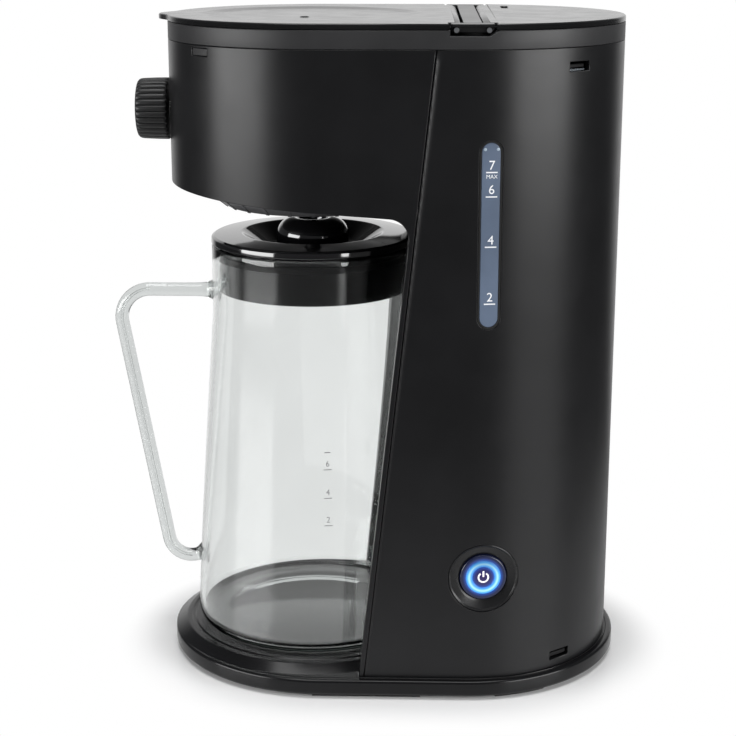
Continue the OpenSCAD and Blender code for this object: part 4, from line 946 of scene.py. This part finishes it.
# Studio: a pale table, two soft lamps low at the sides and a large one overhead. Behind the machine
# stands a white backdrop, which glass and gloss see too; the room on the camera's side is dim.
floor_mesh = build([(-3, -3, 0), (1.2, -3, 0), (1.2, 3, 0), (-3, 3, 0)], [[0, 1, 2, 3]])
floor = shown("floor", floor_mesh)
paper = bpy.data.materials.new("white paper")
paper.use_nodes = True
floor_mesh.materials.append(paper)
world = bpy.data.worlds.new("studio")
bpy.context.scene.world = world
world.use_nodes = True


def maths(tree, kind, one, two, clamp=False):
    """One step of arithmetic with numbers or node outputs."""
    return add_node(tree, "Math", {0: one, 1: two}, operation=kind, use_clamp=clamp)


def seen_white(tree, way, past):
    """How much white a ray sees: the camera all round, gloss at the backdrop, glass a little past it too."""
    ray = add_node(tree, "LightPath").outputs
    away = add_node(tree, "SeparateXYZ", {0: way}).outputs["X"]

    def seen(kind, steep, start):
        stands = maths(tree, "ADD", maths(tree, "MULTIPLY", away, steep), start, True)
        return maths(tree, "MULTIPLY", ray[kind], stands)

    both = maths(tree, "MAXIMUM", seen("Is Glossy Ray", -6.0, -4.2), seen("Is Transmission Ray", -4.0, past))
    return maths(tree, "MAXIMUM", ray["Is Camera Ray"], both)


# On the table, paper shows close to the machine and the white backdrop's floor further out. Its distances run from
# the body's middle line, and the paper's colour is painted darker away from the machine: painted shade that stands in
# for light falling off.
tree = paper.node_tree
here = add_node(tree, "TexCoord").outputs["Object"]
split = add_node(tree, "SeparateXYZ", {0: here}).outputs
held = add_node(tree, "Clamp", {"Value": split["Y"], "Min": FRONT_Y, "Max": REAR_Y})
foot = add_node(tree, "CombineXYZ", {"X": split["X"], "Y": maths(tree, "SUBTRACT", split["Y"], held)})
far = add_node(tree, "VectorMath", {0: foot}, operation="LENGTH").outputs["Value"]
# Painted shade: the paper's own colour darkens with distance from the machine.
painted_falloff_shade = add_node(tree, "MapRange", {"Value": far, "From Min": 0.10, "From Max": 0.46, "To Min": 0.88, "To Max": 0.10})
away = add_node(tree, "MapRange", {"Value": far, "From Min": BASE_R + 0.002, "From Max": BASE_R + 0.032},
                interpolation_type="SMOOTHSTEP")
white = seen_white(tree, add_node(tree, "VectorMath", {0: here}, operation="NORMALIZE"), 0.2)
skin = tree.nodes["Principled BSDF"]
fill(skin, {"Roughness": 0.35, "Base Color": painted_falloff_shade})
shine = add_node(tree, "Emission")
blend = add_node(tree, "MixShader", {"Fac": maths(tree, "MULTIPLY", white, away), 1: skin, 2: shine})
fill(tree.nodes["Material Output"], {"Surface": blend})

tree = world.node_tree
tree.nodes.clear()
sky = add_node(tree, "Background", {"Color": (1, 1, 1, 1)})
room = add_node(tree, "Background", {"Color": (0.95, 0.97, 1.0, 1), "Strength": 0.12})
white = seen_white(tree, add_node(tree, "TexCoord").outputs["Generated"], -2.0)
add_node(tree, "OutputWorld", {"Surface": add_node(tree, "MixShader", {"Fac": white, 1: room, 2: sky})})


def lamp(name, place, aim, width, height, power, in_glass=1.0):
    """A softbox; seen through glass it may be dimmer than it is."""
    light = bpy.data.lights.new(name, "AREA")
    light.shape, light.size, light.size_y, light.energy = "RECTANGLE", width, height, power
    light.use_nodes = True
    through = add_node(light.node_tree, "LightPath").outputs["Is Transmission Ray"]
    share = add_node(light.node_tree, "MapRange", {"Value": through, "To Min": 1.0, "To Max": in_glass})
    fill(light.node_tree.nodes["Emission"], {"Strength": share})
    stand = shown(name, light)
    stand.location = place
    stand.rotation_euler = (Vector(aim) - Vector(place)).to_track_quat("-Z", "Y").to_euler()
    return stand


side_lamps = [lamp("left softbox", (0.60, -1.10, 0.355), (0, 0, 0.25), 0.94, 0.52, 13.5, 0.55),
              lamp("right softbox", (0.76, 1.06, 0.40), (0, 0, 0.3), 1.0, 0.56, 15, 0.55)]
lamp("top softbox", (0.15, 0.0, 1.5), (0, 0, 0.1), 1.0, 1.0, 17)
# Black flags keep the side lamps off the lids and the hinge bridge, whose flat tops would mirror
# them as white sheets from the side and from behind.
flagged = bpy.data.collections.new("flagged from the side lamps")
for name in ("brew_lid", "tank_lid", "lid_bridge"):
    flagged.objects.link(bpy.data.objects[name])
for row in flagged.collection_objects:
    row.light_linking.link_state = "EXCLUDE"
for stand in side_lamps:
    stand.light_linking.receiver_collection = flagged

# The camera stands where the photograph was taken from, at the same height and distance, and looks
# a little down on the machine's right side.
FOCAL, PICTURE_WIDTH, SENSOR = 1743, 736, 36
DISTANCE, CAMERA_Z, SIDEWAYS, YAW, PITCH = 0.9008, 0.3962, 0.0001, -0.0290, 0.2633
eye = Vector((DISTANCE * cos(YAW) + SIDEWAYS * sin(YAW), SIDEWAYS * cos(YAW) - DISTANCE * sin(YAW), CAMERA_Z))
gaze = Vector((-cos(PITCH) * cos(YAW), cos(PITCH) * sin(YAW), -sin(PITCH)))
camera = shown("camera", bpy.data.cameras.new("camera"))
camera.location = eye
camera.rotation_euler = gaze.to_track_quat("-Z", "Y").to_euler()
camera.data.sensor_width = SENSOR
camera.data.lens = FOCAL * SENSOR / PICTURE_WIDTH
bpy.context.scene.camera = camera
bpy.context.scene.view_settings.view_transform = "Standard"
